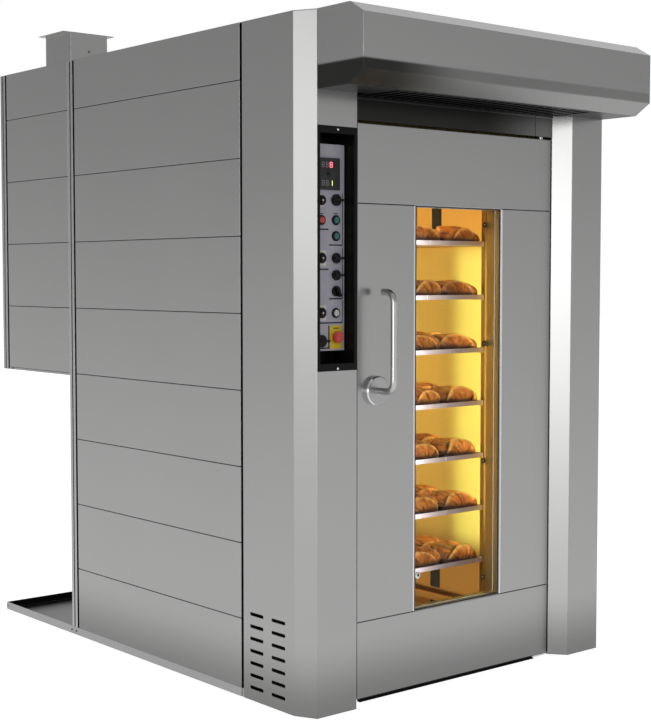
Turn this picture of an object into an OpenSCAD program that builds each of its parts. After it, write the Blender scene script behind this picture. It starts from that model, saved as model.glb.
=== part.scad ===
// Rotating rack oven: an insulated baking chamber with a trolley of trays that turns
// on a hook from the ceiling, a hood over the door, and a heat exchanger box behind.
// X runs along the front, Y to the rear and Z up. Each module places its pieces by
// their distance behind the front face of the columns, and at_front() moves them so
// that the origin is in the middle of the footprint, on the floor.

/* [Body] */
// Width over the side panels
body_w = 1554; // [1520:1:1700]
// Depth of the main body behind the columns' front face
body_d = 1580; // [1570:1:1700]
// Depth of the whole base, with the tray under the exchanger box
base_d = 2168; // [2150:1:2400]
// Height of the roof over the floor
roof_z = 2400; // [2380:1:2600]
// Height of the base channel
base_h = 32; // [28:1:36]
// Thickness of the casing sheets
sheet = 2; // [1.5:0.5:3]
// Gap between two side panels, and between sheets of the roof
seam = 3; // [2:0.5:5]
// Open gap between the side panels and their corner posts
post_gap = 14; // [8:1:20]
// Height of the uppermost joint of the side panels
top_joint_z = 2200; // [2190:1:2250]
// Height of one row of side panels
row_h = 273.5; // [270:0.5:276]
// Joints between the rows of side panels
joints = 8; // [7:1:8]
// Depth of a corner post, front to back
post_d = 42; // [36:1:50]
// Width of a corner post, along the front
post_w = 40; // [36:1:50]
// Width and depth of the groove along a corner post
groove = 9; // [6:1:10]

/* [Columns] */
// Width of a front column, up to its inner front edge
column_w = 217; // [210:1:230]
// Depth of the side cover of a column
cover_d = 366; // [340:1:380]
// Outer corner of a column, along the front
corner_x = 40; // [30:1:50]
// Outer corner of a column, along the side
corner_y = 78; // [60:1:90]
// Splayed inner corner of a column, along the front
splay_x = 49; // [44:1:54]
// Splayed inner corner of a column, front to back
splay_y = 63; // [58:1:66]
// Length of a cooling slot
slot_l = 78; // [60:1:90]
// Height of a cooling slot
slot_h = 12; // [8:1:16]
// Height between two cooling slots
slot_pitch = 44; // [36:1:46]
// Cooling slots in one column of slots
slot_rows = 7; // [4:1:7]
// Height of the lowest cooling slot
slot_low_z = 48; // [40:1:60]

/* [Door] */
// Distance of the door's face behind the columns
door_set = 62; // [58:1:66]
// Gap between the door and the columns
door_gap = 8; // [7:0.5:12]
// Height of the door's lower edge
door_foot_z = 9; // [8.5:0.5:12]
// Height of the door's upper edge
door_top_z = 2043; // [2020:1:2046]
// Thickness of the door's rim
rim_t = 38; // [34:1:44]
// Thickness of the plug behind the rim
plug_t = 37; // [30:1:40]
// Width of the rim beyond the plug
rim_w = 33; // [32:1:36]
// Width of the window
window_w = 451; // [400:1:500]
// Height of the window's lower edge, where the lower door sheet ends
window_low_z = 284.5; // [250:0.5:320]
// Height of the window's upper edge, where the upper door sheet starts
window_top_z = 1766; // [1700:1:1790]
// Width of the polished strip's face around the window
strip_w = 7; // [5:0.5:10]
// Thickness of a window pane
pane_t = 4; // [3:0.5:6]
// Distance of the middle pane behind the door's face
mid_pane = 31; // [20:1:50]
// Distance of the hinge axis from the door's edge
pivot_in = 40; // [36:1:40]
// Distance of the hinge axis behind the door's face
pivot_back = 18; // [15:1:18]
// Radius of the hinge pins
pivot_r = 7; // [6:0.5:8]
// Running clearance of every pin and shaft, on the radius
fit = 0.06; // [0.04:0.01:0.09]

/* [Handle] */
// Diameter of the handle's tube
grip_d = 24; // [20:1:28]
// Distance of the handle's turning axis from the door's edge
grip_in = 84; // [80:1:90]
// Height of the handle's turning axis
grip_z = 1106; // [1050:1:1150]
// Height between the handle's two legs
grip_h = 350; // [300:1:380]
// Distance of the bar in front of the door
grip_reach = 97; // [85:1:110]
// Radius of the handle's bends, at the tube's middle
grip_bend = 38; // [30:1:44]
// Gap between the handle's free end and the door
grip_end = 40; // [35:1:50]
// Diameter of the round rose
rose_d = 106; // [90:1:120]
// Thickness of the rose
rose_t = 20; // [16:1:24]
// Gear module of the latch's pinion and rack
gear_m = 2; // [1.5:0.25:2.25]
// Teeth of the latch's pinion
pinion_teeth = 13; // [12:1:14]
// Width of the latch bolt, front to back
bolt_w = 16; // [14:1:18]
// Height of the latch bolt under its teeth
bolt_h = 14; // [12:1:16]

/* [Hood] */
// Distance of the hood's face in front of the columns
hood_reach = 233.5; // [200:0.5:260]
// Depth of the hood's slanted edges
hood_slant = 67; // [50:1:80]
// Height of the hood's lower slanted edge
hood_slant_low = 43; // [35:1:50]
// Height of the hood's upper slanted edge
hood_slant_top = 40; // [35:1:50]
// Height of the hood's underside
hood_z = 2134.5; // [2120:0.5:2150]
// Height of the filter in the hood's underside
filter_h = 10; // [8:1:14]
// Radius of the hood's fan
hood_fan_r = 92; // [80:1:100]
// Radius of the steam outlet on the roof
outlet_r = 100; // [80:1:110]
// Height of the steam outlet over the roof
outlet_h = 60; // [50:1:80]

/* [Exchanger box] */
// Height of the box's underside
box_z = 1097; // [1060:1:1120]
// Thickness of the box's insulation
box_wool = 60; // [50:1:80]
// Radius of the combustion drum
drum_r = 190; // [170:1:200]
// Height of the combustion drum's axis
drum_z = 1390; // [1380:1:1420]
// Radius of the exchanger's tubes
tube_r = 28; // [24:1:32]
// Radius of the circulation fan
fan_r = 215; // [180:1:230]
// Height of the circulation fan's blades
fan_h = 120; // [100:1:140]

/* [Flue] */
// Width of the flue duct
duct_w = 174; // [160:1:190]
// Depth of the flue duct
duct_d = 209; // [190:1:220]
// Distance of the duct from the body's side
duct_in = 20; // [16:1:26]
// Height of the duct over the roof
duct_h = 125; // [110:1:150]
// Width of the duct's two flanges
flange_w = 34; // [30:1:40]
// Radius of a flange hole
flange_hole_r = 4.5; // [3.5:0.5:5.5]
// Height of the damper's spindle over the roof
damper_h = 50; // [46:1:60]
// Radius of the damper's spindle
damper_r = 5; // [4:0.5:6]

/* [Chamber] */
// Inner width of the chamber
chamber_w = 1234; // [1230:1:1260]
// Distance of the chamber's back wall behind the columns' front
chamber_back = 1380; // [1376:1:1400]
// Height of the chamber's floor
floor_z = 45; // [42:1:47]
// Height of the chamber's ceiling
ceiling_z = 2010; // [2004:1:2014]
// Thickness of the gasket, from the jamb to the door
gasket_t = 20; // [18:1:24]
// Thickness of the insulated front wall
front_wall = 100; // [90:1:110]
// Overlap of the door's plug with the wall beside the doorway
jamb_lap = 27; // [25:1:30]
// Height of the doorway's lintel
doorway_z = 1985; // [1980:1:1990]
// Thickness of the insulation over the ceiling
top_wool = 120; // [100:1:124]
// Width of the air slots in the right wall
air_slot_w = 62; // [40:1:80]
// Distance of the air slots behind the columns' front
air_slot_y = 786; // [700:1:900]
// Height of the bump rail's upper edge
rail_z = 106; // [90:1:120]
// Radius of a chamber lamp
lamp_r = 14; // [10:1:16]
// Length of a chamber lamp
lamp_l = 1100; // [800:10:1200]
// Height of the lamps' lower ends
lamp_z = 500; // [450:10:700]

/* [Rack] */
// Width of the rack
rack_w = 856; // [850:1:860]
// Depth of the rack
rack_d = 854; // [840:1:856]
// Distance of the rack's turning axis behind the columns' front
rack_y = 750; // [748:1:754]
// Side of the rack's square tubes
rack_tube = 20; // [18:1:24]
// Height of the rack's lower frame
rack_foot_z = 170; // [166:1:176]
// Height of the rack's upper edge
rack_top_z = 1840; // [1810:1:1860]
// Height of the lowest runner
first_level_z = 349; // [335:1:360]
// Height between two runners
level_h = 214; // [208:1:216]
// Runners on each side
levels = 7; // [5:1:7]
// Height of a tray's rim
tray_h = 18; // [14:1:22]
// Loaves along a tray's front
loaves_x = 4; // [3:1:4]
// Loaves from a tray's front to its back
loaves_y = 5; // [4:1:5]
// Height of a loaf over its tray
loaf_h = 76; // [60:1:80]
// Radius of the rack's drive shaft
shaft_r = 20; // [16:1:24]
// Radius of a trolley wheel
wheel_r = 50; // [46:1:51]
// Width of a trolley wheel
wheel_w = 28; // [24:1:32]
// Distance of a caster's wheel behind its swivel
trail = 25; // [20:1:30]

/* [Controls] */
// Width of the control niche
niche_w = 152; // [148:1:156]
// Height of the niche's lower edge
niche_low_z = 1214; // [1190:1:1230]
// Height of the niche's upper edge
niche_top_z = 1992; // [1980:1:2010]
// Border of the niche's frame, at its top and bottom
frame_border = 25; // [20:1:30]
// Depth of the niche
niche_d = 100; // [96:1:120]
// Distance of the control plate behind the columns' front
plate_y = 46; // [40:1:48]
// Thickness of the control plate
plate_t = 3; // [2:0.5:4]
// Distance between the two rows of controls
rows_w = 65; // [60:1:70]
// Radius of a push button
button_r = 11; // [9:0.5:12]
// Travel of a push button
button_travel = 4; // [3:0.5:5]

/* [Connections] */
// Radius of the water inlet's stub
water_r = 15; // [13:1:18]
// Distance of the water inlet from the middle
water_x = 500; // [400:10:600]
// Height of the water inlet
water_z = 400; // [300:10:600]
// Radius of the bore for the mains cable
cable_r = 12.5; // [10:0.5:16]
// Distance of the cable entry from the middle
cable_x = 500; // [400:10:600]
// Height of the cable entry
cable_z = 900; // [700:10:1000]

/* [Hidden] */

// Gap left between two fixed pieces that lie face to face
seat = 0.2;
// Gap left between a moving piece and what it moves past
clear = 0.3;
half_w = body_w / 2;
front_x = half_w - column_w;
return_x = front_x - splay_x;
door_half = return_x - door_gap;
plug_half = door_half - rim_w;
rim_back = door_set + rim_t;
door_back = rim_back + plug_t;
jamb_y = door_back + gasket_t;
wall_y = jamb_y + front_wall;
chamber_half = chamber_w / 2;
doorway_half = plug_half - jamb_lap;
window_half = window_w / 2;
header_low = door_top_z + 11;
top_wool_z = ceiling_z + sheet + seat + top_wool;
body_back = body_d - sheet;
box_back = base_d - box_wool - sheet - seat;
side_front = cover_d + post_gap;
body_post_y = body_d - post_d;
box_post_y = base_d - post_d;
hood_half = half_w - corner_x;
hood_lip = hood_reach - hood_slant;
hood_fan_z = (hood_z + filter_h + roof_z) / 2;
outlet_y = cover_d / 2 + 60;
pivot_x = door_half - pivot_in;
pivot_y = door_set + pivot_back;
pivot_plate = 6;
pivot_depth = 32;
grip_x = grip_in - door_half;
grip_y = door_set - grip_reach;
grip_r = grip_d / 2;
pitch_r = gear_m * pinion_teeth / 2;
rack_pitch = PI * gear_m;
bolt_y = door_set + 20;
bolt_top_z = grip_z - pitch_r - 1.25 * gear_m;
bolt_throw = pitch_r * PI / 2;
latch_low_z = bolt_top_z - bolt_h - 16;
latch_top_z = grip_z + 34;
latch_x = grip_x + 44;
duct_x = -half_w + duct_in;
duct_top = roof_z + duct_h;
damper_z = roof_z + damper_h;
flange_t = 3;
flange_hole_y = 70;
drum_front = body_d + 60;
drum_back = box_back - 30;
fan_y = box_back - 90;
fan_z = roof_z - box_wool - fan_r - 50;
fan_shaft_r = 15;
blast_r = 70;
fan_hole_r = 30;
burner_hole_r = blast_r + 20;
port_half = 250;
return_port = [1700, 1950];
supply_port = [1250, 1500];
tube_half = rack_tube / 2;
rack_in_x = rack_w / 2 - rack_tube;
tray_half = rack_in_x - 5;
runner_t = 2;
hook_bar_z = rack_top_z - rack_tube;
wheel_gap = 6;
wheel_z = floor_z + wheel_gap + wheel_r;
caster_x = 320;
caster_y = 340;
crown_z = wheel_z + wheel_r + 2;
fork_t = 3;
axle_r = 5;
stem_r = 8;
niche_x = -half_w + (corner_x + column_w) / 2 - 1.5;
plate_low = niche_low_z + 42;
plate_high = niche_top_z - 32;
plate_half = niche_w / 2 - 4.5;
left_row = niche_x - rows_w / 2;
right_row = niche_x + rows_w / 2;
scale_t = 1.5;
screw_r = 4;

// Heights of the joints between the side panels, from the base to the roof
row_zs = concat([base_h], [for (i = [joints - 1:-1:0]) top_joint_z - i * row_h], [roof_z]);
// Lowest joint of the exchanger box's side panels
box_joint = max(box_z + sheet + seat, min([for (z = row_zs) if (z > box_z) z]));

// Span of a given half width round a middle
function around(mid, half) = [mid - half, mid + half];
function unit(v) = v / norm(v);
function left_of(v) = [-v[1], v[0]];
// Corner i of a path, moved inwards by a thickness along its mitre
function mitre(path, i, t) =
    let (n = len(path), a = max(i, 1), b = min(i, n - 2),
         before = left_of(unit(path[a] - path[a - 1])),
         after = left_of(unit(path[b + 1] - path[b])))
    path[i] + t * (before + after) / (1 + before * after);
// Closed outline of a sheet folded along a path
function folded(path, t) =
    concat(path, [for (i = [len(path) - 1:-1:0]) mitre(path, i, t)]);

module at_front() translate([0, -base_d / 2, 0]) children();
module both_sides() {
    children();
    mirror([1, 0, 0]) children();
}
module slab(x, y, z) translate([x[0], y[0], z[0]]) cube([x[1] - x[0], y[1] - y[0], z[1] - z[0]]);
// Round bars along each axis, from one end to the other
module bar(r, ends) cylinder(r = r, h = ends[1] - ends[0], $fn = 64);
module bar_x(r, x, y, z) translate([x[0], y, z]) rotate([0, 90, 0]) bar(r, x);
module bar_y(r, x, y, z) translate([x, y[0], z]) rotate([-90, 0, 0]) bar(r, y);
module bar_z(r, x, y, z) translate([x, y, z[0]]) bar(r, z);
// One flat of a folded sheet, with mitred ends
module flat_of(path, t, i) {
    pull = unit(path[i + 1] - path[i]) * seat / 2;
    polygon([path[i] + pull, path[i + 1] - pull, mitre(path, i + 1, t) - pull, mitre(path, i, t) + pull]);
}

// Base and casing

module base_frame() color("darkgray") at_front() {
    rail = 60;
    inner = half_w - sheet - seat;
    slab([-inner, inner], [jamb_y, body_d], [0, 3]);
    both_sides() {
        slab([inner - rail, inner], [jamb_y, body_d], [0, base_h]);
        slab([inner, half_w], [side_front, body_d], [0, base_h]);
    }
    for (y = [jamb_y, base_d / 2 - rail / 2, body_d - rail])
        slab([-inner, inner], [y, y + rail], [0, base_h]);
}

module service_tray() color("dimgray") at_front() {
    y = [body_d + seat, base_d];
    rim = [sheet + seat, base_h];
    slab([-half_w, half_w], y, [0, sheet]);
    both_sides() slab([half_w - sheet, half_w], y, rim);
    for (front = [y[0], y[1] - sheet])
        slab([sheet + seat - half_w, half_w - sheet - seat], [front, front + sheet], rim);
}

// Outline of a corner post, with a groove in its outer face
function post_path(y) = let (mid = y + post_d / 2, inner = half_w - post_w) [
    [inner, y + post_d], [inner, y], [half_w, y], [half_w, mid - groove / 2],
    [half_w - groove, mid - groove / 2], [half_w - groove, mid + groove / 2],
    [half_w, mid + groove / 2], [half_w, y + post_d], [inner + sheet + 1, y + post_d]];

module corner_posts() color("silver") at_front() both_sides() {
    translate([0, 0, base_h]) linear_extrude(roof_z - base_h) polygon(folded(post_path(body_post_y), sheet));
    translate([0, 0, box_z]) linear_extrude(roof_z - box_z) polygon(folded(post_path(box_post_y), sheet));
}

module side_panels() color("gray") at_front() both_sides()
    for (i = [0:len(row_zs) - 2]) {
        low = row_zs[i] + (i > 0 ? seam / 2 : seat);
        high = row_zs[i + 1] - (i < len(row_zs) - 2 ? seam / 2 : 0);
        slab([half_w - sheet, half_w], [side_front, body_post_y - post_gap], [low, high]);
        if (high > box_joint + seam)
            slab([half_w - sheet, half_w], [body_d + seat, box_post_y - post_gap],
                 [max(low, box_joint + seam / 2), high]);
    }

// Plan of the left column, from its side cover round to the doorway
column_path = [[-half_w, cover_d], [-half_w, corner_y], [-hood_half, 0], [-front_x, 0],
    [-return_x, splay_y], [-return_x, jamb_y - seat]];

module column_flat(i) linear_extrude(roof_z - sheet - seat) flat_of(column_path, sheet, i);

module slot_hole(y, z) {
    r = slot_h / 2;
    for (end = [y + r, y + slot_l - r]) bar_x(r, [-half_w - 1, sheet + 1 - half_w], end, z);
    slab([-half_w - 1, sheet + 1 - half_w], [y + r, y + slot_l - r], [z - r, z + r]);
}

module left_column() color("lightgray") at_front() {
    out = sheet + seat;
    niche_z = [niche_low_z - out, niche_top_z + out];
    // Side cover, with its cooling slots
    difference() {
        column_flat(0);
        for (row = [0:slot_rows - 1], y = [corner_y + 48, corner_y + 94 + slot_l])
            slot_hole(y, slot_low_z + row * slot_pitch);
    }
    column_flat(1);
    // Front face, in four sheets round the control niche
    difference() {
        column_flat(2);
        slab([niche_x - niche_w / 2 - out, niche_x + niche_w / 2 + out], [-1, sheet + 1], niche_z);
        for (z = niche_z) slab([-hood_half - sheet, splay_x - front_x], [-1, sheet + 1], around(z, seat / 2));
    }
    column_flat(3);
    // Inner return, with the hole for the latch bolt
    difference() {
        column_flat(4);
        slab([-return_x - sheet - 1, 1 - return_x], [bolt_y - bolt_w / 2 - 2, bolt_y + bolt_w / 2 + 2],
             [bolt_top_z - bolt_h - 2, bolt_top_z + 2]);
    }
}

module right_column() color("lightgray") at_front() mirror([1, 0, 0])
    for (i = [0:len(column_path) - 2]) column_flat(i);

module rear_casing() color("gray") at_front() {
    inner = half_w - post_w - seat;
    panel_joints = concat([box_z], [for (z = row_zs) if (z > drum_z + burner_hole_r + 60) z]);
    // Lower rear wall of the body, with the water inlet and the cable gland
    difference() {
        union() {
            slab([-inner, inner], [body_back, body_d], [base_h + seat, box_z - seat]);
            bar_y(water_r, water_x, [body_back, body_d + 30], water_z);
            bar_y(cable_r + 5.5, -cable_x, [body_back, body_d + 25], cable_z);
        }
        bar_y(water_r - 5.5, water_x, [body_back - 1, body_d + 31], water_z);
        bar_y(cable_r, -cable_x, [body_back - 1, body_d + 26], cable_z);
    }
    // Rear sheets of the box, with the holes for the burner and the fan's shaft
    difference() {
        for (i = [0:len(panel_joints) - 2])
            slab([-inner, inner], [base_d - sheet, base_d],
                 [panel_joints[i] + seam / 2,
                  panel_joints[i + 1] - (i < len(panel_joints) - 2 ? seam / 2 : sheet + seat)]);
        bar_y(burner_hole_r, 0, [box_back, base_d + 1], drum_z);
        bar_y(fan_hole_r, 0, [box_back, base_d + 1], fan_z);
    }
    // Floor of the box, turned up along both sides
    slab([-half_w, half_w], [body_d + seat, box_post_y - seat], [box_z, box_z + sheet]);
    slab([-inner, inner], [box_post_y - seat, base_d - sheet - seat], [box_z, box_z + sheet]);
    both_sides()
        slab([half_w - sheet, half_w], [body_d + seat, box_post_y - seat], [box_z + sheet + seat, box_joint]);
}

module roof_panels() color("gray") at_front() {
    top = [roof_z - sheet, roof_z];
    inner = half_w - sheet - seat;
    post_in = half_w - post_w - seat;
    joint_y = body_d / 2;
    duct_end = body_d + duct_d + seat;
    // Front sheet, over the columns, and the collar of the steam outlet
    difference() {
        translate([0, 0, roof_z - sheet]) linear_extrude(sheet)
            polygon([[-half_w, cover_d], [-half_w, corner_y], [-hood_half, 0],
                [hood_half, 0], [half_w, corner_y], [half_w, cover_d]]);
        bar_z(outlet_r - sheet, 0, outlet_y, [roof_z - sheet - 1, roof_z + 1]);
    }
    difference() {
        bar_z(outlet_r, 0, outlet_y, [roof_z + seat, roof_z + outlet_h]);
        bar_z(outlet_r - sheet, 0, outlet_y, [roof_z, roof_z + outlet_h + 1]);
    }
    slab([-inner, inner], [cover_d + seat, joint_y - seam / 2], top);
    slab([-inner, inner], [joint_y + seam / 2, body_post_y - seat], top);
    slab([-post_in, post_in], [body_post_y - seat, body_d - seat], top);
    // Roof of the box, in sheets round the duct
    slab([-inner, duct_x - seat], [body_d + seat, duct_end], top);
    slab([duct_x + duct_w + seat, inner], [body_d + seat, duct_end], top);
    slab([-inner, inner], [duct_end + seat, box_post_y - seat], top);
    slab([-post_in, post_in], [box_post_y - seat, base_d - sheet - seat], top);
}

module case_screws() color("black") at_front() {
    for (z = [niche_low_z - frame_border / 2 - 4, niche_top_z + frame_border / 2 + 2])
        bar_y(screw_r, niche_x, [-sheet - 1.5, -sheet], z);
    both_sides() {
        for (y = [body_post_y + 10, body_d + 5, base_d - 6])
            bar_x(screw_r, [half_w, half_w + 1.5], y, base_h / 2);
        for (y = [box_post_y - 6, box_post_y - 44]) bar_x(screw_r, [half_w, half_w + 1.5], y, box_z + 5);
    }
}

// Flue

module flue_duct() color("gray") at_front() {
    low = roof_z - box_wool - sheet;
    x0 = duct_x;
    x1 = duct_x + duct_w;
    y0 = body_d;
    y1 = body_d + duct_d;
    difference() {
        for (y = [y0, y1 - sheet]) slab([x0, x1], [y, y + sheet], [low, duct_top]);
        bar_y(damper_r + fit, (x0 + x1) / 2, [y0 - 1, y1 + 1], damper_z);
    }
    // Sides, each turned out into a flange at the top
    for (side = [[x0, -1], [x1, 1]]) difference() {
        wall = side[1] < 0 ? [side[0], side[0] + sheet] : [side[0] - sheet, side[0]];
        lip = side[1] < 0 ? [side[0] - flange_w, side[0] + sheet] : [side[0] - sheet, side[0] + flange_w];
        union() {
            slab(wall, [y0 + sheet + seat, y1 - sheet - seat], [low, duct_top]);
            slab(lip, [y0 + sheet + seat, y1 - sheet - seat], [duct_top - flange_t, duct_top]);
        }
        for (y = [-flange_hole_y, flange_hole_y])
            bar_z(flange_hole_r, side[0] + side[1] * flange_w / 2, (y0 + y1) / 2 + y,
                  [duct_top - flange_t - 1, duct_top + 1]);
    }
}

module flue_damper() color("dimgray") at_front() {
    x = duct_x + duct_w / 2;
    reach = min(duct_w / 2 - sheet, duct_h - damper_h, damper_h + box_wool) - 3;
    gap = sheet + 3;
    bar_y(damper_r, x, [body_d - 2, body_d + duct_d + 20], damper_z);
    slab([x - 1, x + 1], [body_d + gap, body_d + duct_d - gap], [damper_z - reach, damper_z + reach]);
}

// Hood

hood_path = [[-seat, roof_z], [-hood_lip, roof_z], [-hood_reach, roof_z - hood_slant_top],
    [-hood_reach, hood_z + hood_slant_low], [-hood_lip, hood_z]];

// Extrudes an outline drawn in distance and height along the front
module along_front(x) translate([x[0], 0, 0]) rotate([90, 0, 90]) linear_extrude(x[1] - x[0]) children();

module hood_shell() color("gray") at_front() {
    inner = hood_half - sheet - seat;
    for (i = [0:len(hood_path) - 2]) along_front([-inner, inner]) flat_of(hood_path, sheet, i);
    both_sides() along_front([hood_half - sheet, hood_half]) polygon(concat(hood_path, [[-seat, hood_z]]));
    // Rear wall of the hood, between the columns, with the fan's ring
    difference() {
        slab([seat - return_x, return_x - seat], [door_set, door_set + sheet],
             [hood_z + seat, roof_z - sheet - seat]);
        bar_y(hood_fan_r + 4, 0, [door_set - 1, door_set + sheet + 1], hood_fan_z);
    }
}

module hood_filter() color("black") at_front() {
    wide = hood_half - sheet - seat;
    narrow = return_x - seat;
    pitch = 2 * narrow / 24;
    difference() {
        union() {
            slab([-wide, wide], [-hood_lip + sheet + seat + 1, -1], [hood_z + 1, hood_z + filter_h]);
            slab([-narrow, narrow], [-1, door_set - seat], [hood_z + 1, hood_z + filter_h]);
        }
        for (i = [0:23])
            slab([-narrow + (i + 0.2) * pitch, -narrow + (i + 0.8) * pitch], [-hood_lip + 30, door_set - 15],
                 [hood_z, hood_z + filter_h + 1]);
    }
}

// A fan's blades, set round an axis that runs to the rear
module blades(count, hub, tip, y, wide, turn)
    for (i = [0:count - 1])
        rotate([0, i * 360 / count, 0]) translate([0, y, (hub + tip) / 2]) rotate([0, 0, turn])
            cube([2, wide, tip - hub], center = true);

module hood_fan() color("silver") at_front() {
    bar_y(28, 0, [door_set + 10, door_set + 50], hood_fan_z);
    bar_y(6, 0, [door_set + 40, door_set + 95], hood_fan_z);
    translate([0, 0, hood_fan_z]) blades(6, 24, hood_fan_r - 4, door_set + 30, 44, 50);
}

// Front wall and doorway

module header_piece(x) {
    slab(x, [door_set, door_set + sheet], [header_low, hood_z]);
    slab(x, [door_set, jamb_y - seat], [header_low, header_low + sheet]);
    slab(x, [door_set - 3, door_set], [hood_z - 6, hood_z]);
}

module door_header() color("gray") at_front() {
    joint_x = pivot_x - 50;
    header_piece([seat - return_x, joint_x - seam / 2]);
    difference() {
        header_piece([joint_x + seam / 2, return_x - seat]);
        bar_z(pivot_r + 4, pivot_x, pivot_y, [header_low - 1, header_low + sheet + 1]);
    }
}

module door_jamb() color("silver") at_front() {
    top = ceiling_z + top_wool;
    front = [jamb_y, jamb_y + sheet];
    reveal = [jamb_y + sheet + seat, wall_y - sheet - seat];
    inner = [wall_y - sheet, wall_y];
    both_sides() {
        slab([doorway_half, return_x + 80], front, [base_h + seat, top]);
        slab([doorway_half, doorway_half + sheet], reveal, [floor_z + seat, doorway_z]);
        slab([doorway_half, chamber_half], inner, [floor_z + seat, ceiling_z - seat]);
    }
    slab([seat - doorway_half, doorway_half - seat], front, [doorway_z, top]);
    slab([seat - doorway_half, doorway_half - seat], reveal, [doorway_z, doorway_z + sheet]);
    slab([seat - doorway_half, doorway_half - seat], inner, [doorway_z, ceiling_z - seat]);
}

module door_gasket() color("black") at_front() {
    near = doorway_half + 2;
    far = near + 18;
    y = [door_back + clear, jamb_y - seat];
    both_sides() slab([near, far], y, [floor_z, doorway_z + 5 - seat]);
    slab([-far, far], y, [doorway_z + 5, doorway_z + 23]);
}

module door_pivots() color("silver") at_front() {
    x = [pivot_x - 40, pivot_x + 35];
    y = [pivot_y - 14, jamb_y - seat];
    top = header_low + sheet + seat;
    slab(x, y, [0, pivot_plate]);
    bar_z(pivot_r, pivot_x, pivot_y, [0, door_foot_z + pivot_depth]);
    slab(x, y, [top, top + pivot_plate]);
    bar_z(pivot_r, pivot_x, pivot_y, [door_top_z - pivot_depth, top + pivot_plate]);
    bar_z(pivot_r + 3, pivot_x, pivot_y, [door_top_z + 3, header_low - 1]);
}

// Chamber

// Wall with the ports for the returning and the heated air
module ported_wall(half, y, z) {
    both_sides() slab([port_half + seat, half], y, z);
    for (band = [[z[0], supply_port[0]], [supply_port[1], return_port[0]], [return_port[1], z[1]]])
        slab([-port_half, port_half], y, band);
}

module chamber_liner() color("khaki") at_front() {
    out = chamber_half + sheet;
    back = [chamber_back, chamber_back + sheet];
    z = [floor_z, ceiling_z - seat];
    wall = [wall_y + seat, chamber_back - seat];
    slab([-out, -chamber_half], wall, z);
    // Right wall, with its air slots at the foot and the head
    difference() {
        slab([chamber_half, out], wall, z);
        for (slot = [[floor_z + 15, floor_z + 195], [ceiling_z - 370, ceiling_z - 20]])
            slab([chamber_half - 1, out + 1], [air_slot_y, air_slot_y + air_slot_w], slot);
    }
    ported_wall(out, back, z);
    difference() {
        slab([-out, out], [wall_y, chamber_back + sheet], [ceiling_z, ceiling_z + sheet]);
        bar_z(shaft_r + 10, 0, rack_y, [ceiling_z - 1, ceiling_z + sheet + 1]);
    }
    // Floor, from the doorway to the back wall, and the rails that stop a trolley
    slab([-doorway_half, doorway_half], [jamb_y, wall_y], [floor_z - 3, floor_z - seat]);
    slab([-out, out], [wall_y, chamber_back + sheet], [floor_z - 3, floor_z - seat]);
    both_sides()
        slab([chamber_half - 16, chamber_half - seat], [wall_y + 20, chamber_back - 20],
             [rail_z - 30, rail_z]);
}

module chamber_lamps() color("yellow") at_front() both_sides()
    bar_z(lamp_r, chamber_half - 50, wall_y + lamp_r + seat, [lamp_z, lamp_z + lamp_l]);

module insulation() color("tan") at_front() {
    out = half_w - sheet - seat;
    in = chamber_half + sheet + seat;
    rear = [chamber_back + sheet + seat, body_back - seat];
    low = base_h + seat;
    top = ceiling_z + sheet + seat;
    both_sides() {
        slab([in, out], [side_front + 12, body_post_y - post_gap - 12], [low, top_wool_z]);
        slab([in, in + 60], [wall_y + seat, side_front + 12 - seat], [low, top_wool_z]);
        slab([doorway_half + sheet + seat, in - seat], [jamb_y + sheet + seat, wall_y - sheet - seat],
             [low, ceiling_z]);
        // Sides of the exchanger box
        slab([out - box_wool, out], [body_d + seat, box_back - seat],
             [box_z + sheet + seat, roof_z - sheet - box_wool - seat]);
    }
    slab([seat - in, in - seat], [wall_y, chamber_back], [low, floor_z - 3 - seat]);
    slab([-doorway_half, doorway_half], [jamb_y + sheet + seat, wall_y - seat], [low, floor_z - 3 - seat]);
    difference() {
        slab([seat - in, in - seat], [wall_y, rear[0] - seat], [top, top_wool_z]);
        bar_z(shaft_r + 10, 0, rack_y, [ceiling_z, top_wool_z + 1]);
    }
    // Rear wall of the body, with the two air ports
    ported_wall(in - seat, rear, [low, top_wool_z]);
    // Floor, roof and rear of the exchanger box
    box = [body_d + seat, box_back - seat];
    inner = out - box_wool - seat;
    slab([-inner, inner], box, [box_z + sheet + seat, box_z + sheet + box_wool]);
    lid = [roof_z - sheet - box_wool, roof_z - sheet - seat];
    slab([duct_x + duct_w + seat, out], [box[0], body_d + duct_d], lid);
    slab([-out, out], [body_d + duct_d + seat, box[1]], lid);
    difference() {
        slab([post_w + 10 - half_w, half_w - post_w - 10], [box_back, base_d - sheet - seat],
             [box_z + sheet + seat, roof_z - sheet - seat]);
        bar_y(burner_hole_r, 0, [box_back - 1, base_d], drum_z);
        bar_y(fan_hole_r, 0, [box_back - 1, base_d], fan_z);
    }
}

// Heat exchanger, fan, burner and motors

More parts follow.
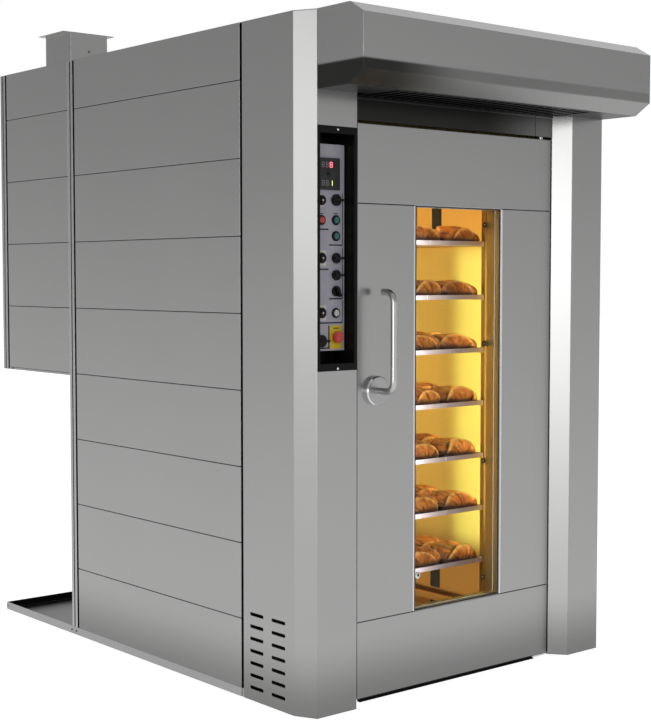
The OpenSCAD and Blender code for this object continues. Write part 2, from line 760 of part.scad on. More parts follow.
module heat_exchanger() color("sienna") at_front() {
    deep = [drum_front + 20, drum_back - 20];
    low = drum_z + drum_r + 10;
    high = fan_z - fan_r - 75;
    far = 5 * tube_r * 3;
    riser = [duct_x + 57, duct_x + duct_w - 7];
    difference() {
        union() {
            bar_y(drum_r, 0, [drum_front, drum_back], drum_z);
            for (y = [deep[0] + 20, deep[1] - 60])
                slab([-120, 120], [y, y + 40], [box_z + sheet + box_wool + seat, drum_z - drum_r + 40]);
            slab([-100, 100], deep, [drum_z + drum_r - 30, low]);
            slab([-far - 2 * tube_r, far + 2 * tube_r], deep, [low, low + 50]);
        }
        bar_y(drum_r - 6, 0, [drum_front + 6, drum_back - 6], drum_z);
        bar_y(blast_r + 5, 0, [drum_back - 7, drum_back + 1], drum_z);
    }
    for (i = [-5:5], y = [deep[0] + 80, deep[1] - 80])
        bar_z(tube_r, i * 3 * tube_r, y, [low + 50 + seat, high - seat]);
    slab([riser[0], far + 2 * tube_r], deep, [high, high + 50]);
    slab(riser, [body_d + 12, body_d + duct_d - 12], [high + 50 + seat, roof_z - box_wool - sheet - 3]);
}

module circulation_fan() color("silver") at_front() {
    back = fan_y + fan_h / 2;
    bar_y(fan_r, 0, [back - 3, back], fan_z);
    bar_y(45, 0, [back - 50, back - 3], fan_z);
    translate([0, 0, fan_z]) blades(12, 80, fan_r - 4, fan_y, fan_h - 6, 0);
    bar_y(fan_shaft_r, 0, [back + seat, base_d + 120], fan_z);
}

module burner() color("firebrick") at_front() {
    y = base_d + seat;
    pipe_z = drum_z - 85;
    bar_y(blast_r, 0, [drum_back - 40, y + 10 - seat], drum_z);
    bar_y(burner_hole_r + 25, 0, [y, y + 10], drum_z);
    bar_y(115, 0, [y + 10 + seat, y + 150], drum_z);
    slab([-110, 110], [y + 150 + seat, y + 250], [drum_z - 115, drum_z + 125]);
    bar_x(58, [110 + seat, 220], y + 200, drum_z);
    // Gas line, with its valve
    difference() {
        union() {
            bar_x(17, [-340, -110 - seat], y + 200, pipe_z);
            slab([-250, -180], [y + 165, y + 235], [pipe_z - 35, pipe_z + 45]);
        }
        bar_x(13.5, [-341, -260], y + 200, pipe_z);
    }
}

module drive_motors() color("steelblue") at_front() {
    gear_z = [top_wool_z + seat, top_wool_z + 110];
    // Gear motor that turns the rack
    difference() {
        slab([-90, 90], [rack_y - 90, rack_y + 90], gear_z);
        bar_z(shaft_r + fit, 0, rack_y, [gear_z[0] - 1, gear_z[1] + 1]);
    }
    bar_x(50, [90 + seat, 330], rack_y, (gear_z[0] + gear_z[1]) / 2);
    // Motor of the circulation fan
    difference() {
        union() {
            slab([-110, 110], [base_d + seat, base_d + 10], [fan_z - 110, fan_z + 110]);
            bar_y(85, 0, [base_d + 10 + seat, base_d + 220], fan_z);
        }
        bar_y(fan_shaft_r + fit, 0, [base_d, base_d + 121], fan_z);
    }
    // Motor of the hood's fan, on its bracket
    far = door_set + 75;
    side = hood_fan_r + 12;
    difference() {
        union() {
            bar_y(55, 0, [far, far + 110], hood_fan_z);
            slab([-side - 4, side + 4], [far, far + 4], around(hood_fan_z, 30));
            both_sides()
                slab([side, side + 4], [door_set + sheet + seat, far + 4], around(hood_fan_z, 30));
        }
        bar_y(6 + fit, 0, [far - 1, far + 21], hood_fan_z);
    }
}

// Controls

left_thermostat_z = niche_low_z + 555;
program_z = niche_low_z + 557.5;
stop_z = niche_low_z + 488;
start_z = niche_low_z + 489;
steam_button_z = niche_low_z + 434.5;
scale_z = niche_low_z + 359;
fan_select_z = niche_low_z + 301;
rack_select_z = niche_low_z + 246;
timer_z = niche_low_z + 172;
reset_z = niche_low_z + 171;
switch_z = niche_low_z + 76;
emergency_z = niche_low_z + 88;
controller_z = [niche_low_z + 591, niche_low_z + 699];
controller_t = 7;
menu_z = niche_low_z + 645;
menu_x = niche_x - 5;
plate_back = plate_y + plate_t;
cap_out = 8;
spindle_r = 3;
stop_r = 20;
stop_stem_r = 11;
stop_travel = button_travel + 1;
knobs = [[left_row, left_thermostat_z], [right_row, program_z], [left_row, scale_z], [right_row, scale_z],
    [right_row, fan_select_z], [right_row, rack_select_z], [left_row, timer_z], [left_row, switch_z]];
buttons = [[left_row, stop_z], [right_row, start_z], [right_row, steam_button_z], [right_row, reset_z]];

module control_niche() color("black") at_front() {
    x0 = niche_x - niche_w / 2;
    x1 = niche_x + niche_w / 2;
    walls = [-sheet, niche_d - sheet - seat];
    frame = [-sheet, -seat];
    top = niche_top_z + sheet;
    low = niche_low_z - sheet;
    // Frame on the column's front face
    slab([-hood_half, -front_x], frame, [top + seat, niche_top_z + frame_border]);
    slab([-hood_half, -front_x], frame, [niche_low_z - frame_border, low - seat]);
    slab([-hood_half, x0 - sheet - seat], frame, [low, top]);
    slab([x1 + sheet + seat, -front_x], frame, [low, top]);
    // Walls and rear of the niche
    slab([x0 - sheet, x0], walls, [low, top]);
    slab([x1, x1 + sheet], walls, [low, top]);
    slab([x0 + seat, x1 - seat], walls, [low, niche_low_z]);
    slab([x0 + seat, x1 - seat], walls, [niche_top_z, top]);
    slab([x0 - sheet, x1 + sheet], [niche_d - sheet, niche_d], [low, top]);
    // Rails that carry the control plate, and contact blocks behind the push buttons
    rear = niche_d - sheet - seat;
    for (x = [niche_x - plate_half + 5, niche_x + plate_half - 5])
        slab(around(x, 4), [plate_back + seat, rear], [plate_low, plate_high]);
    for (b = buttons)
        slab([b[0] - 14, b[0] + 14], [plate_back + 6 + button_travel, rear], [b[1] - 16, b[1] + 16]);
    slab([right_row - 18, right_row + 18], [plate_back + 6 + stop_travel, niche_d - sheet - seat],
         [emergency_z - 20, emergency_z + 20]);
}

module control_panel() color("lavender") at_front() difference() {
    union() {
        slab([niche_x - plate_half, niche_x + plate_half], [plate_y, plate_back], [plate_low, plate_high]);
        for (k = knobs)
            slab([k[0] - 14, k[0] + 14], [plate_back - 1, plate_back + 28], [k[1] - 14, k[1] + 14]);
        for (b = buttons) bar_y(button_r + 4, b[0], [plate_y - 4, plate_y + 1], b[1]);
        // Scales behind the dials
        for (z = [scale_z, timer_z])
            slab([left_row - 22, left_row + 22], [plate_y - scale_t, plate_y + 1], [z - 26, z + 26]);
        bar_y(22, left_row, [plate_y - scale_t, plate_y + 1], left_thermostat_z);
    }
    for (k = knobs) bar_y(spindle_r + fit, k[0], [plate_y - 5, plate_back + 18], k[1]);
    for (b = buttons) bar_y(button_r + fit, b[0], [plate_y - 5, plate_back + 1], b[1]);
    bar_y(stop_stem_r + fit, right_row, [plate_y - 1, plate_back + 1], emergency_z);
    bar_y(6, menu_x, [plate_y - 1, plate_back + 1], menu_z);
}

module temperature_controller() color("black") at_front() {
    face = plate_y - controller_t;
    difference() {
        slab([niche_x - 55, niche_x + 46], [face, plate_y - seat], controller_z);
        slab([niche_x - 45, niche_x + 30], [face - 1, face + 1], [menu_z + 18, menu_z + 44]);
        slab([niche_x - 45, niche_x + 30], [face - 1, face + 1], [menu_z - 44, menu_z - 18]);
        bar_y(5 + fit, menu_x, [face - 1, plate_y], menu_z);
    }
}

module emergency_plate() color("yellow") at_front() difference() {
    union() {
        slab([right_row - 27, right_row + 27], [plate_y - 2, plate_y - seat],
             [emergency_z - 40, emergency_z + 40]);
        bar_y(17, right_row, [plate_y - 3.5, plate_y - 1], emergency_z);
    }
    bar_y(stop_stem_r + fit, right_row, [plate_y - 11, plate_y], emergency_z);
}

// Spindle of a turning control, and its round base
module dial(x, z, r) {
    face = plate_y - scale_t - clear;
    bar_y(r, x, [face - 6, face], z);
    bar_y(spindle_r, x, [face - 1, plate_back + 17], z);
}
// Turning control with a raised grip across its face
module selector(x, z, r, turn) {
    face = plate_y - scale_t - clear;
    dial(x, z, r);
    translate([x, 0, z]) rotate([0, turn, 0]) slab([-4, 4], [face - 20, face - 5], [-r + 1, r + 3]);
}

module thermostat_dial() color("dimgray") at_front() {
    dial(left_row, left_thermostat_z, 17);
    bar_y(11, left_row, [plate_y - 12, plate_y - 6], left_thermostat_z);
}
module program_selector() color("black") at_front() selector(right_row, program_z, 20, -90);
module steam_dial() color("black") at_front() {
    dial(left_row, scale_z, 18);
    bar_y(12, left_row, [plate_y - 13, plate_y - 6], scale_z);
}
module light_selector() color("black") at_front() selector(right_row, scale_z, 18, 90);
module fan_selector() color("black") at_front() selector(right_row, fan_select_z, 18, 90);
module rack_selector() color("black") at_front() selector(right_row, rack_select_z, 18, 150);
module timer_dial() color("black") at_front() {
    dial(left_row, timer_z, 18);
    bar_y(12, left_row, [plate_y - 13, plate_y - 6], timer_z);
}
module main_switch() color("black") at_front() selector(left_row, switch_z, 21, 90);

module push_button(x, z) bar_y(button_r, x, [plate_y - cap_out, plate_back + 4], z);
module stop_button() color("red") at_front() push_button(left_row, stop_z);
module start_button() color("green") at_front() push_button(right_row, start_z);
module steam_button() color("teal") at_front() push_button(right_row, steam_button_z);
module reset_button() color("white") at_front() push_button(right_row, reset_z);
module menu_button() color("gray") at_front() bar_y(5, menu_x, [plate_y - controller_t - 2, plate_back + 2], menu_z);
module emergency_stop() color("red") at_front() {
    bar_y(stop_r, right_row, [plate_y - 18, plate_y - 4 - stop_travel], emergency_z);
    bar_y(stop_r - 5, right_row, [plate_y - 21, plate_y - 17], emergency_z);
    bar_y(stop_stem_r, right_row, [plate_y - 5 - stop_travel, plate_back + 3], emergency_z);
}

// Door

plug_low = 40;
plug_top = doorway_z + 45;
core_front = door_set + sheet + seat;
core_back = door_back - sheet - seat;
latch_back = bolt_y + 20;
guide_x = 33 - door_half;
spindle_out = 8;

module door_core() color("khaki") at_front() {
    rim = door_half - sheet - seat;
    plug = plug_half - sheet - seat;
    low = door_foot_z + sheet + seat;
    high = door_top_z - sheet - seat;
    window_x = window_half + seat;
    mid = rim_back - sheet - seat;
    // Above and below the window, and beside it
    block = pivot_in + 22;
    for (z = [[low, window_low_z - sheet - seat], [window_top_z + sheet + seat, high]]) difference() {
        union() {
            slab([-rim, rim], [core_front, mid], z);
            slab([-plug, plug], [mid - 1, core_back],
                 [max(z[0], plug_low + sheet + seat), min(z[1], plug_top - sheet - seat)]);
        }
        for (end = [[low - 1, door_foot_z + pivot_depth + 20], [door_top_z - pivot_depth - 20, high + 1]])
            slab([door_half - block, door_half], [core_front - 1, mid + seat], end);
    }
    difference() {
        for (side = [[-1, -1], [1, 1]]) {
            slab(side[0] < 0 ? [-rim, -window_x] : [window_x, rim], [core_front, mid],
                 [window_low_z, window_top_z]);
            slab(side[0] < 0 ? [-plug, -window_x] : [window_x, plug], [mid - 1, core_back],
                 [window_low_z, window_top_z]);
        }
        slab([-door_half, latch_x], [core_front - 1, latch_back + seat], [latch_low_z, latch_top_z]);
    }
}

module pivot_block(z)
    slab([door_half - pivot_in - 20, door_half - sheet - seat], [core_front, rim_back - sheet - seat], z);

module door_sheets() color("gainsboro") at_front() {
    x = door_half;
    edge = x - sheet;
    face = [door_set, door_set + sheet];
    deep = [core_front, rim_back];
    low = door_foot_z;
    high = door_top_z;
    // Face sheets
    slab([-x, x], face, [low, window_low_z - seam / 2]);
    slab([-x, x], face, [window_top_z + seam / 2, high]);
    middle = [window_low_z + seam / 2, window_top_z - seam / 2];
    strip = window_half + strip_w + seat;
    slab([strip, x], face, middle);
    difference() {
        slab([-x, -strip], face, middle);
        bar_y(spindle_out + 3, grip_x, [door_set - 1, door_set + sheet + 1], grip_z);
    }
    // Edges of the rim
    slab([edge, x], deep, [low, high]);
    difference() {
        slab([-x, -edge], deep, [low, high]);
        slab([-x - 1, 1 - edge], [bolt_y - bolt_w / 2 - 1, bolt_y + bolt_w / 2 + 1],
             [bolt_top_z - bolt_h - 1, bolt_top_z + 1]);
    }
    for (z = [[low, low + sheet], [high - sheet, high]]) difference() {
        slab([seat - edge, edge - seat], deep, z);
        bar_z(pivot_r + 3, pivot_x, pivot_y, [z[0] - 1, z[1] + 1]);
    }
    // Back of the rim
    back = [rim_back - sheet, rim_back];
    both_sides() slab([plug_half + seat, edge - seat], back, [low + sheet + seat, high - sheet - seat]);
    slab([-plug_half, plug_half], back, [low + sheet + seat, plug_low - seat]);
    slab([-plug_half, plug_half], back, [plug_top + seat, high - sheet - seat]);
    // Plug
    rear = [door_back - sheet, door_back];
    inner = plug_half - sheet - seat;
    both_sides() {
        slab([plug_half - sheet, plug_half], [rim_back - sheet, door_back], [plug_low, plug_top]);
        slab([window_half + seat, inner], rear, [plug_low + sheet + seat, plug_top - sheet - seat]);
    }
    for (z = [[plug_low, plug_low + sheet], [plug_top - sheet, plug_top]])
        slab([-inner, inner], [rim_back - sheet, door_back], z);
    slab([-window_half, window_half], rear, [plug_low + sheet + seat, window_low_z - sheet - seat]);
    slab([-window_half, window_half], rear, [window_top_z + sheet + seat, plug_top - sheet - seat]);
    // Bearing blocks of the hinge pins
    difference() {
        pivot_block([low + sheet + seat, low + pivot_depth + 18]);
        bar_z(pivot_r + fit, pivot_x, pivot_y, [low, low + pivot_depth + 1]);
    }
    difference() {
        pivot_block([high - pivot_depth - 18, high - sheet - seat]);
        bar_z(pivot_r + fit, pivot_x, pivot_y, [high - pivot_depth - 1, high]);
    }
    // Guide of the latch bolt, and the bearing of its pinion
    difference() {
        slab([seat - edge, guide_x], [core_front, rim_back - sheet - seat],
             [latch_low_z + seat, bolt_top_z + 12]);
        slab([-x, guide_x + 1], [bolt_y - bolt_w / 2 - fit, bolt_y + bolt_w / 2 + fit],
             [bolt_top_z - bolt_h - fit, bolt_top_z + fit]);
    }
    difference() {
        slab([-inner, latch_x - seat], [bolt_y + bolt_w / 2 + 4, latch_back],
             [latch_low_z + seat, latch_top_z - seat]);
        bar_y(spindle_out + fit, grip_x, [bolt_y, latch_back + 1], grip_z);
    }
}

module door_trim() color("white") at_front() {
    z = [window_low_z + seam / 2, window_top_z - seam / 2];
    lining = [door_set + sheet + seat, door_back];
    both_sides() {
        slab([window_half, window_half + strip_w], [door_set, door_set + sheet], z);
        slab([window_half - sheet, window_half - seat], lining, [window_low_z - sheet, window_top_z + sheet]);
        slab([window_half - sheet - 3, window_half - sheet - seat],
             [door_set + sheet + seat + 2 * pane_t, door_set + mid_pane - seat], z);
        // Clips of the inner pane
        for (i = [0:3])
            slab([window_half - sheet - 10, window_half - sheet - seat],
                 [door_back - sheet + seat, door_back + 2.5],
                 around(window_low_z + 58 + i * (window_top_z - window_low_z - 116) / 3, 12));
    }
    inner = window_half - sheet - seat;
    for (low = [window_low_z - sheet, window_top_z + seat])
        slab([-inner, inner], lining, [low, low + sheet - seat]);
    // Rose of the handle
    difference() {
        union() {
            bar_y(rose_d / 2, grip_x, [door_set - rose_t + 5, door_set - seat], grip_z);
            translate([grip_x, door_set - rose_t + 5, grip_z]) rotate([90, 0, 0])
                cylinder(r1 = rose_d / 2, r2 = rose_d / 2 - 4, h = 5, $fn = 64);
        }
        bar_y(grip_r + fit, grip_x, [door_set - rose_t - 1, door_set + 1], grip_z);
    }
}

module window_panes() color("lightcyan") at_front() {
    inner = window_half - sheet - seat;
    z = [window_low_z + seat, window_top_z - seat];
    for (y = [door_set + pane_t, door_set + mid_pane, door_back - sheet - pane_t])
        slab([-inner, inner], [y, y + pane_t], z);
}

// Handle and latch

module bend(y, z, turn) translate([grip_x, y, z]) rotate([turn, 0, 0]) rotate([90, 0, 90])
    rotate_extrude(angle = 90, $fn = 64) translate([grip_bend, 0]) circle(r = grip_r, $fn = 48);

module door_handle() color("silver") at_front() {
    near = grip_y + grip_bend;
    bar_y(grip_r, grip_x, [near, door_set - 1], grip_z);
    bend(near, grip_z + grip_bend, 180);
    bar_z(grip_r, grip_x, grip_y, [grip_z + grip_bend, grip_z + grip_h - grip_bend]);
    bend(near, grip_z + grip_h - grip_bend, 90);
    bar_y(grip_r, grip_x, [near, door_set - grip_end], grip_z + grip_h);
}

// Clearance of the latch's teeth, and its tooth form
mesh_gap = 0.33;
press_angle = 20;
tooth_t = PI * gear_m / 2 - mesh_gap;
base_r = pitch_r * cos(press_angle);
function spread(r) = let (a = acos(min(1, base_r / r))) tan(a) * 180 / PI - a;
function half_tooth(r) = tooth_t / 2 / pitch_r * 180 / PI + spread(pitch_r) - spread(r);
function round_at(r, a) = [r * cos(a), r * sin(a)];
tooth_rs = [for (i = [0:4]) base_r + 0.02 + i * (pitch_r + gear_m - base_r - 0.02) / 4];
root_r = pitch_r - 1.25 * gear_m;

function pinion_outline() = [for (k = [0:pinion_teeth - 1]) let (a = -90 + k * 360 / pinion_teeth)
    each concat([round_at(root_r, a - half_tooth(tooth_rs[0]))],
                [for (i = [0:4]) round_at(tooth_rs[i], a - half_tooth(tooth_rs[i]))],
                [for (i = [4:-1:0]) round_at(tooth_rs[i], a + half_tooth(tooth_rs[i]))],
                [round_at(root_r, a + half_tooth(tooth_rs[0]))])];

module latch_spindle() color("dimgray") at_front() {
    bar_y(spindle_out, grip_x, [door_set - 1 + seat, latch_back - 0.4], grip_z);
    translate([grip_x, bolt_y + bolt_w / 2, grip_z]) rotate([90, 0, 0]) linear_extrude(bolt_w)
        polygon(pinion_outline());
}

bolt_tip = 1 - door_half;
bolt_end = grip_x + 34;
tooth_up = 0.7 * gear_m;
function bolt_outline() = let (low = bolt_top_z - bolt_h, slope = tan(press_angle),
        root = tooth_t / 2 + 1.25 * gear_m * slope, tip = tooth_t / 2 - tooth_up * slope)
    concat([[bolt_tip, low], [bolt_end, low], [bolt_end, bolt_top_z]],
           [for (k = [4:-1:-2]) let (x = grip_x + (k + 0.5) * rack_pitch)
               each [[x + root, bolt_top_z], [x + tip, bolt_top_z + 1.25 * gear_m + tooth_up],
                     [x - tip, bolt_top_z + 1.25 * gear_m + tooth_up], [x - root, bolt_top_z]]],
           [[bolt_tip, bolt_top_z]]);

module latch_bolt() color("silver") at_front() translate([0, bolt_y + bolt_w / 2, 0]) rotate([90, 0, 0])
    linear_extrude(bolt_w) polygon(bolt_outline());

// Rack and trolley

yoke_z = rack_top_z + 16;
claw_low = rack_top_z - rack_tube - 12;
plate_foot = rack_foot_z - 12;

module rack_shaft() color("silver") at_front() {
    gear_top = top_wool_z + 110;
    bar_z(shaft_r, 0, rack_y, [yoke_z, gear_top + 20]);
    bar_z(shaft_r + 12, 0, rack_y, [gear_top + clear, gear_top + 12]);
    slab([-110, 110], [rack_y - 26, rack_y + 26], [yoke_z, yoke_z + 12]);
    // Claws round the rack's top rail
    for (side = [-1, 1]) {
        x = side < 0 ? [-105, -75] : [75, 105];
        slab(x, [rack_y + tube_half + 2, rack_y + 24], [claw_low, yoke_z + 1]);
        slab(x, [rack_y - tube_half - 2, rack_y + 24], [claw_low, rack_top_z - rack_tube - seat]);
    }
}

module rack_post(x, y) slab([x - tube_half, x + tube_half], [y - tube_half, y + tube_half],
    [rack_foot_z + rack_tube + seat, rack_top_z - rack_tube - seat]);

module fork(x, y, back) translate([x, y, 0]) {
    cheek = wheel_w / 2 + 1;
    for (side = [-cheek - fork_t, cheek]) translate([side, 0, 0]) rotate([90, 0, 90]) linear_extrude(fork_t)
        polygon([[-20, crown_z + 1], [back - 10, wheel_z - 11],
            [back + 10, wheel_z - 11], [back + 14, crown_z + 1]]);
    slab([-cheek - fork_t, cheek + fork_t], [-20, back + 14], [crown_z, plate_foot - clear]);
    bar_x(axle_r, [-cheek - 1, cheek + 1], back, wheel_z);
}

module rack_frame() color("silver") at_front() {
    out_x = rack_w / 2 - tube_half;
    out_y = rack_d / 2 - tube_half;
    for (x = [-out_x, out_x], y = [-out_y, 0, out_y]) rack_post(x, rack_y + y);
    for (z = [[rack_foot_z, rack_foot_z + rack_tube], [rack_top_z - rack_tube, rack_top_z]]) {
        for (x = [-out_x, out_x])
            slab([x - tube_half, x + tube_half], around(rack_y, rack_d / 2), z);
        for (y = [-out_y, out_y])
            slab([seat - rack_in_x, rack_in_x - seat], around(rack_y + y, tube_half), z);
    }
    slab([seat - rack_in_x, rack_in_x - seat], [rack_y - tube_half, rack_y + tube_half],
         [rack_top_z - rack_tube, rack_top_z]);
    // Runners of the trays
    for (k = [0:levels - 1]) both_sides()
        slab([rack_in_x - 20, rack_in_x - seat], around(rack_y, rack_d / 2),
             around(first_level_z + k * level_h - seat - runner_t / 2, runner_t / 2));
    // Cross rails over the casters, with their plates
    for (y = [-caster_y, caster_y]) difference() {
        union() {
            slab([seat - rack_in_x, rack_in_x - seat], around(rack_y + y, tube_half),
                 [rack_foot_z, rack_foot_z + rack_tube]);
            for (x = [-caster_x, caster_x])
                slab([x - 40, x + 40], around(rack_y + y, 40), [plate_foot, rack_foot_z]);
        }
        for (x = [-caster_x, caster_x])
            bar_z(stem_r + fit, x, rack_y + y, [plate_foot - 1, rack_foot_z + 12]);
    }
    // Fixed forks of the rear wheels
    for (x = [-caster_x, caster_x]) {
        fork(x, rack_y + caster_y, 0);
        bar_z(stem_r, x, rack_y + caster_y, [crown_z + 1, rack_foot_z + 11]);
    }
}

module tray_at(k) {
    z = first_level_z + k * level_h;
    y = around(rack_y, rack_d / 2);
    difference() {
        slab([-tray_half, tray_half], y, [z, z + tray_h]);
        slab([1.5 - tray_half, tray_half - 1.5], y + [1.5, -1.5], [z + 1.5, z + tray_h + 1]);
    }
}

module baking_trays() color("silver") at_front() for (k = [0:levels - 1]) tray_at(k);

module bread_loaves() color("peru") at_front() {
    wide = 2 * tray_half - 44;
    deep = rack_d - 44;
    foot = max(wide / loaves_x, deep / loaves_y) / 2 + 4;
    ball = (foot * foot + loaf_h * loaf_h) / (2 * loaf_h);
    step = [wide / loaves_x, deep / loaves_y];
    low = first_level_z + 1.5 + seat;
    for (k = [0:levels - 1]) translate([0, rack_y, low + k * level_h]) intersection() {
        union() for (i = [0:loaves_x - 1], j = [0:loaves_y - 1])
            translate([(i + 0.5) * step[0] - wide / 2, (j + 0.5) * step[1] - deep / 2, loaf_h - ball])
                sphere(r = ball, $fn = 48);
        slab([2 - tray_half, tray_half - 2], [2 - rack_d / 2, rack_d / 2 - 2], [0, loaf_h + 1]);
    }
}

module swivel(x) at_front() {
    y = rack_y - caster_y;
    fork(x, y, trail);
    bar_z(stem_r, x, y, [crown_z + 1, rack_foot_z + 11]);
}
module caster_left() color("silver") swivel(-caster_x);
module caster_right() color("silver") swivel(caster_x);

module wheel(x, y) at_front() difference() {
    union() {
        bar_x(wheel_r, around(x, wheel_w / 2), y, wheel_z);
    }
    bar_x(axle_r + fit, around(x, wheel_w / 2 + 1), y, wheel_z);
}
module wheel_front_left() color("dimgray") wheel(-caster_x, rack_y - caster_y + trail);
module wheel_front_right() color("dimgray") wheel(caster_x, rack_y - caster_y + trail);
module wheel_rear_left() color("dimgray") wheel(-caster_x, rack_y + caster_y);
module wheel_rear_right() color("dimgray") wheel(caster_x, rack_y + caster_y);

base_frame();
service_tray();
corner_posts();
side_panels();
left_column();
right_column();
rear_casing();
roof_panels();
flue_duct();
flue_damper();
hood_shell();
hood_filter();
hood_fan();
door_header();
door_jamb();
door_gasket();
door_pivots();
chamber_liner();
chamber_lamps();
insulation();
heat_exchanger();
circulation_fan();
burner();
drive_motors();
case_screws();
control_niche();
control_panel();
temperature_controller();
emergency_plate();
thermostat_dial();
program_selector();
stop_button();
start_button();
steam_button();
steam_dial();
light_selector();
fan_selector();
rack_selector();
timer_dial();
reset_button();
main_switch();
emergency_stop();
menu_button();
door_core();
door_sheets();
door_trim();
window_panes();
door_handle();
latch_spindle();
latch_bolt();
rack_shaft();
rack_frame();
baking_trays();
bread_loaves();
caster_left();
caster_right();
wheel_front_left();
wheel_front_right();
wheel_rear_left();
wheel_rear_right();
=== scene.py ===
# %% [markdown]
# # A rotating rack oven
#
# The oven is a cabinet of brushed stainless sheets round a lit baking chamber. The
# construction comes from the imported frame, at its real size. This lesson gives each part
# its finish, bakes the bread, fits out the control niche and sets up the studio.

# %% The frame
import math

import bmesh
import bpy
import numpy as np
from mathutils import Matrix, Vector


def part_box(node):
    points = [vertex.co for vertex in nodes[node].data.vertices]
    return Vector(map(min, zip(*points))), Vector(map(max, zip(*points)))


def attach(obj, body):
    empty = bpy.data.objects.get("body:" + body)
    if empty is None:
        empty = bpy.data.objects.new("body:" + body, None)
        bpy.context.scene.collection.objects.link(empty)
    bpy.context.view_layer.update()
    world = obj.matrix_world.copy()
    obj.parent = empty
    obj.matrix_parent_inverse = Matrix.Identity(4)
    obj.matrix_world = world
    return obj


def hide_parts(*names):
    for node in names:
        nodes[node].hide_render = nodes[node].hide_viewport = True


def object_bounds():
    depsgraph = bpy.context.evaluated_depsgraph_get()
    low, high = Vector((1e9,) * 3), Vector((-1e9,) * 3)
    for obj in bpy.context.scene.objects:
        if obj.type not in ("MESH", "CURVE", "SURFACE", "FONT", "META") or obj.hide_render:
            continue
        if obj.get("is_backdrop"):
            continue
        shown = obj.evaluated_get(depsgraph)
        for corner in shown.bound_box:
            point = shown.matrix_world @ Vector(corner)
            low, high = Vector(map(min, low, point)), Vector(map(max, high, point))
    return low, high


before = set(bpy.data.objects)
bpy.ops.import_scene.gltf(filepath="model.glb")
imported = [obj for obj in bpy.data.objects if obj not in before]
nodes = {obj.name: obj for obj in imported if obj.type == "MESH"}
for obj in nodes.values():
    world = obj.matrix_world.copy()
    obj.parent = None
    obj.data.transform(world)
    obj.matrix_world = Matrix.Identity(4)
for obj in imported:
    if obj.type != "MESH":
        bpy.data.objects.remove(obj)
cad_low, cad_high = (tuple(corner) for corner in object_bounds())
MM = 0.001
print("box of the oven:", [round(high - low, 3) for low, high in zip(cad_low, cad_high)])

# %% [markdown]
# ## The camera
#
# The picture looks at the left front corner from a little over chest height. The camera could
# be aimed with a constraint, but its place and its turns say the same thing and keep every
# number in sight. The lens is a long one, so the upright edges stay almost parallel.

# %% The camera
camera_spot = (-3.8198, -4.8101, 1.5109)
camera_pitch = math.radians(-3.33)
camera_heading = math.radians(-39.93)

camera_data = bpy.data.cameras.new("camera")
camera_data.sensor_fit = "VERTICAL"
camera_data.sensor_height = 36
camera_data.lens = 71.904
camera_data.clip_end = 200
camera = bpy.data.objects.new("camera", camera_data)
camera.location = camera_spot
camera.rotation_euler = (math.pi / 2 + camera_pitch, 0, camera_heading)
bpy.context.scene.collection.objects.link(camera)
bpy.context.scene.camera = camera
view_along = (math.cos(camera_heading + math.pi / 2), math.sin(camera_heading + math.pi / 2), 0)
print("camera looks along", [round(c, 3) for c in view_along])

# %% [markdown]
# ## Helpers for node trees
#
# Every finish below is built from the same few nodes: a pattern placed by the object's own
# coordinates, a noise, a range of values, a product, a mix of two colours. Writing each of
# them once keeps the finishes short. A finish is asked for by its name from then on.


# %% Node helpers
finishes = {}


def new_finish(name):
    """A node material, kept under its name, with its shader."""
    finishes[name] = material = bpy.data.materials.new(name)
    material.use_nodes = True
    print("finish:", name)
    return material.node_tree, material.node_tree.nodes["Principled BSDF"]


def fill(tree, node, sockets):
    """Each socket takes a link from another node, or a plain value."""
    for key, value in sockets.items():
        if isinstance(value, bpy.types.NodeSocket):
            tree.links.new(value, node.inputs[key])
        else:
            node.inputs[key].default_value = value


def add_node(tree, kind, sockets=None, **settings):
    """A node with its properties set; sockets are given by name or number."""
    node = tree.nodes.new(kind)
    for key, value in settings.items():
        setattr(node, key, value)
    fill(tree, node, sockets or {})
    return node


def object_pattern(tree, scale=(1, 1, 1)):
    """The object's own coordinates, stretched along each axis."""
    place = add_node(tree, "ShaderNodeTexCoord").outputs["Object"]
    return add_node(tree, "ShaderNodeMapping", {"Vector": place, "Scale": scale}).outputs[0]


def noise(tree, vector, scale=1.0, detail=3.0, rough=0.5):
    """A noise from 0 to 1."""
    return add_node(tree, "ShaderNodeTexNoise", {
        "Vector": vector, "Scale": scale, "Detail": detail, "Roughness": rough}).outputs[0]


def spread(tree, value, low, high, start=0.0, end=1.0, how="LINEAR"):
    """The value, carried from one range over to another."""
    return add_node(tree, "ShaderNodeMapRange", {
        "Value": value, "From Min": start, "From Max": end, "To Min": low, "To Max": high},
        interpolation_type=how).outputs[0]


def soft_step(tree, value, start, end, low=0.0, high=1.0):
    """From low to high while the value goes from start to end, with soft ends."""
    return spread(tree, value, low, high, start, end, "SMOOTHSTEP")


def maths(tree, how, *terms):
    """Numbers or sockets put together by one operation."""
    return add_node(tree, "ShaderNodeMath", dict(enumerate(terms)), operation=how).outputs[0]


def product(tree, first, second):
    """Two numbers multiplied."""
    return maths(tree, "MULTIPLY", first, second)


def blend(tree, factor, first, second, how="MIX"):
    """A mix of two colours, each a triple or a socket."""
    first, second = ((*colour, 1) if isinstance(colour, tuple) else colour
                     for colour in (first, second))
    return add_node(tree, "ShaderNodeMix", {0: factor, 6: first, 7: second},
                    data_type="RGBA", blend_type=how).outputs[2]


def bump(tree, height, depth, edge=0.0):
    """A normal with a relief of that depth in metres, and edges rounded by that radius."""
    node = add_node(tree, "ShaderNodeBump", {"Height": height, "Strength": 1, "Distance": depth})
    if edge:
        rounded = add_node(tree, "ShaderNodeBevel", {"Radius": edge}, samples=4)
        fill(tree, node, {"Normal": rounded.outputs[0]})
    return node.outputs[0]


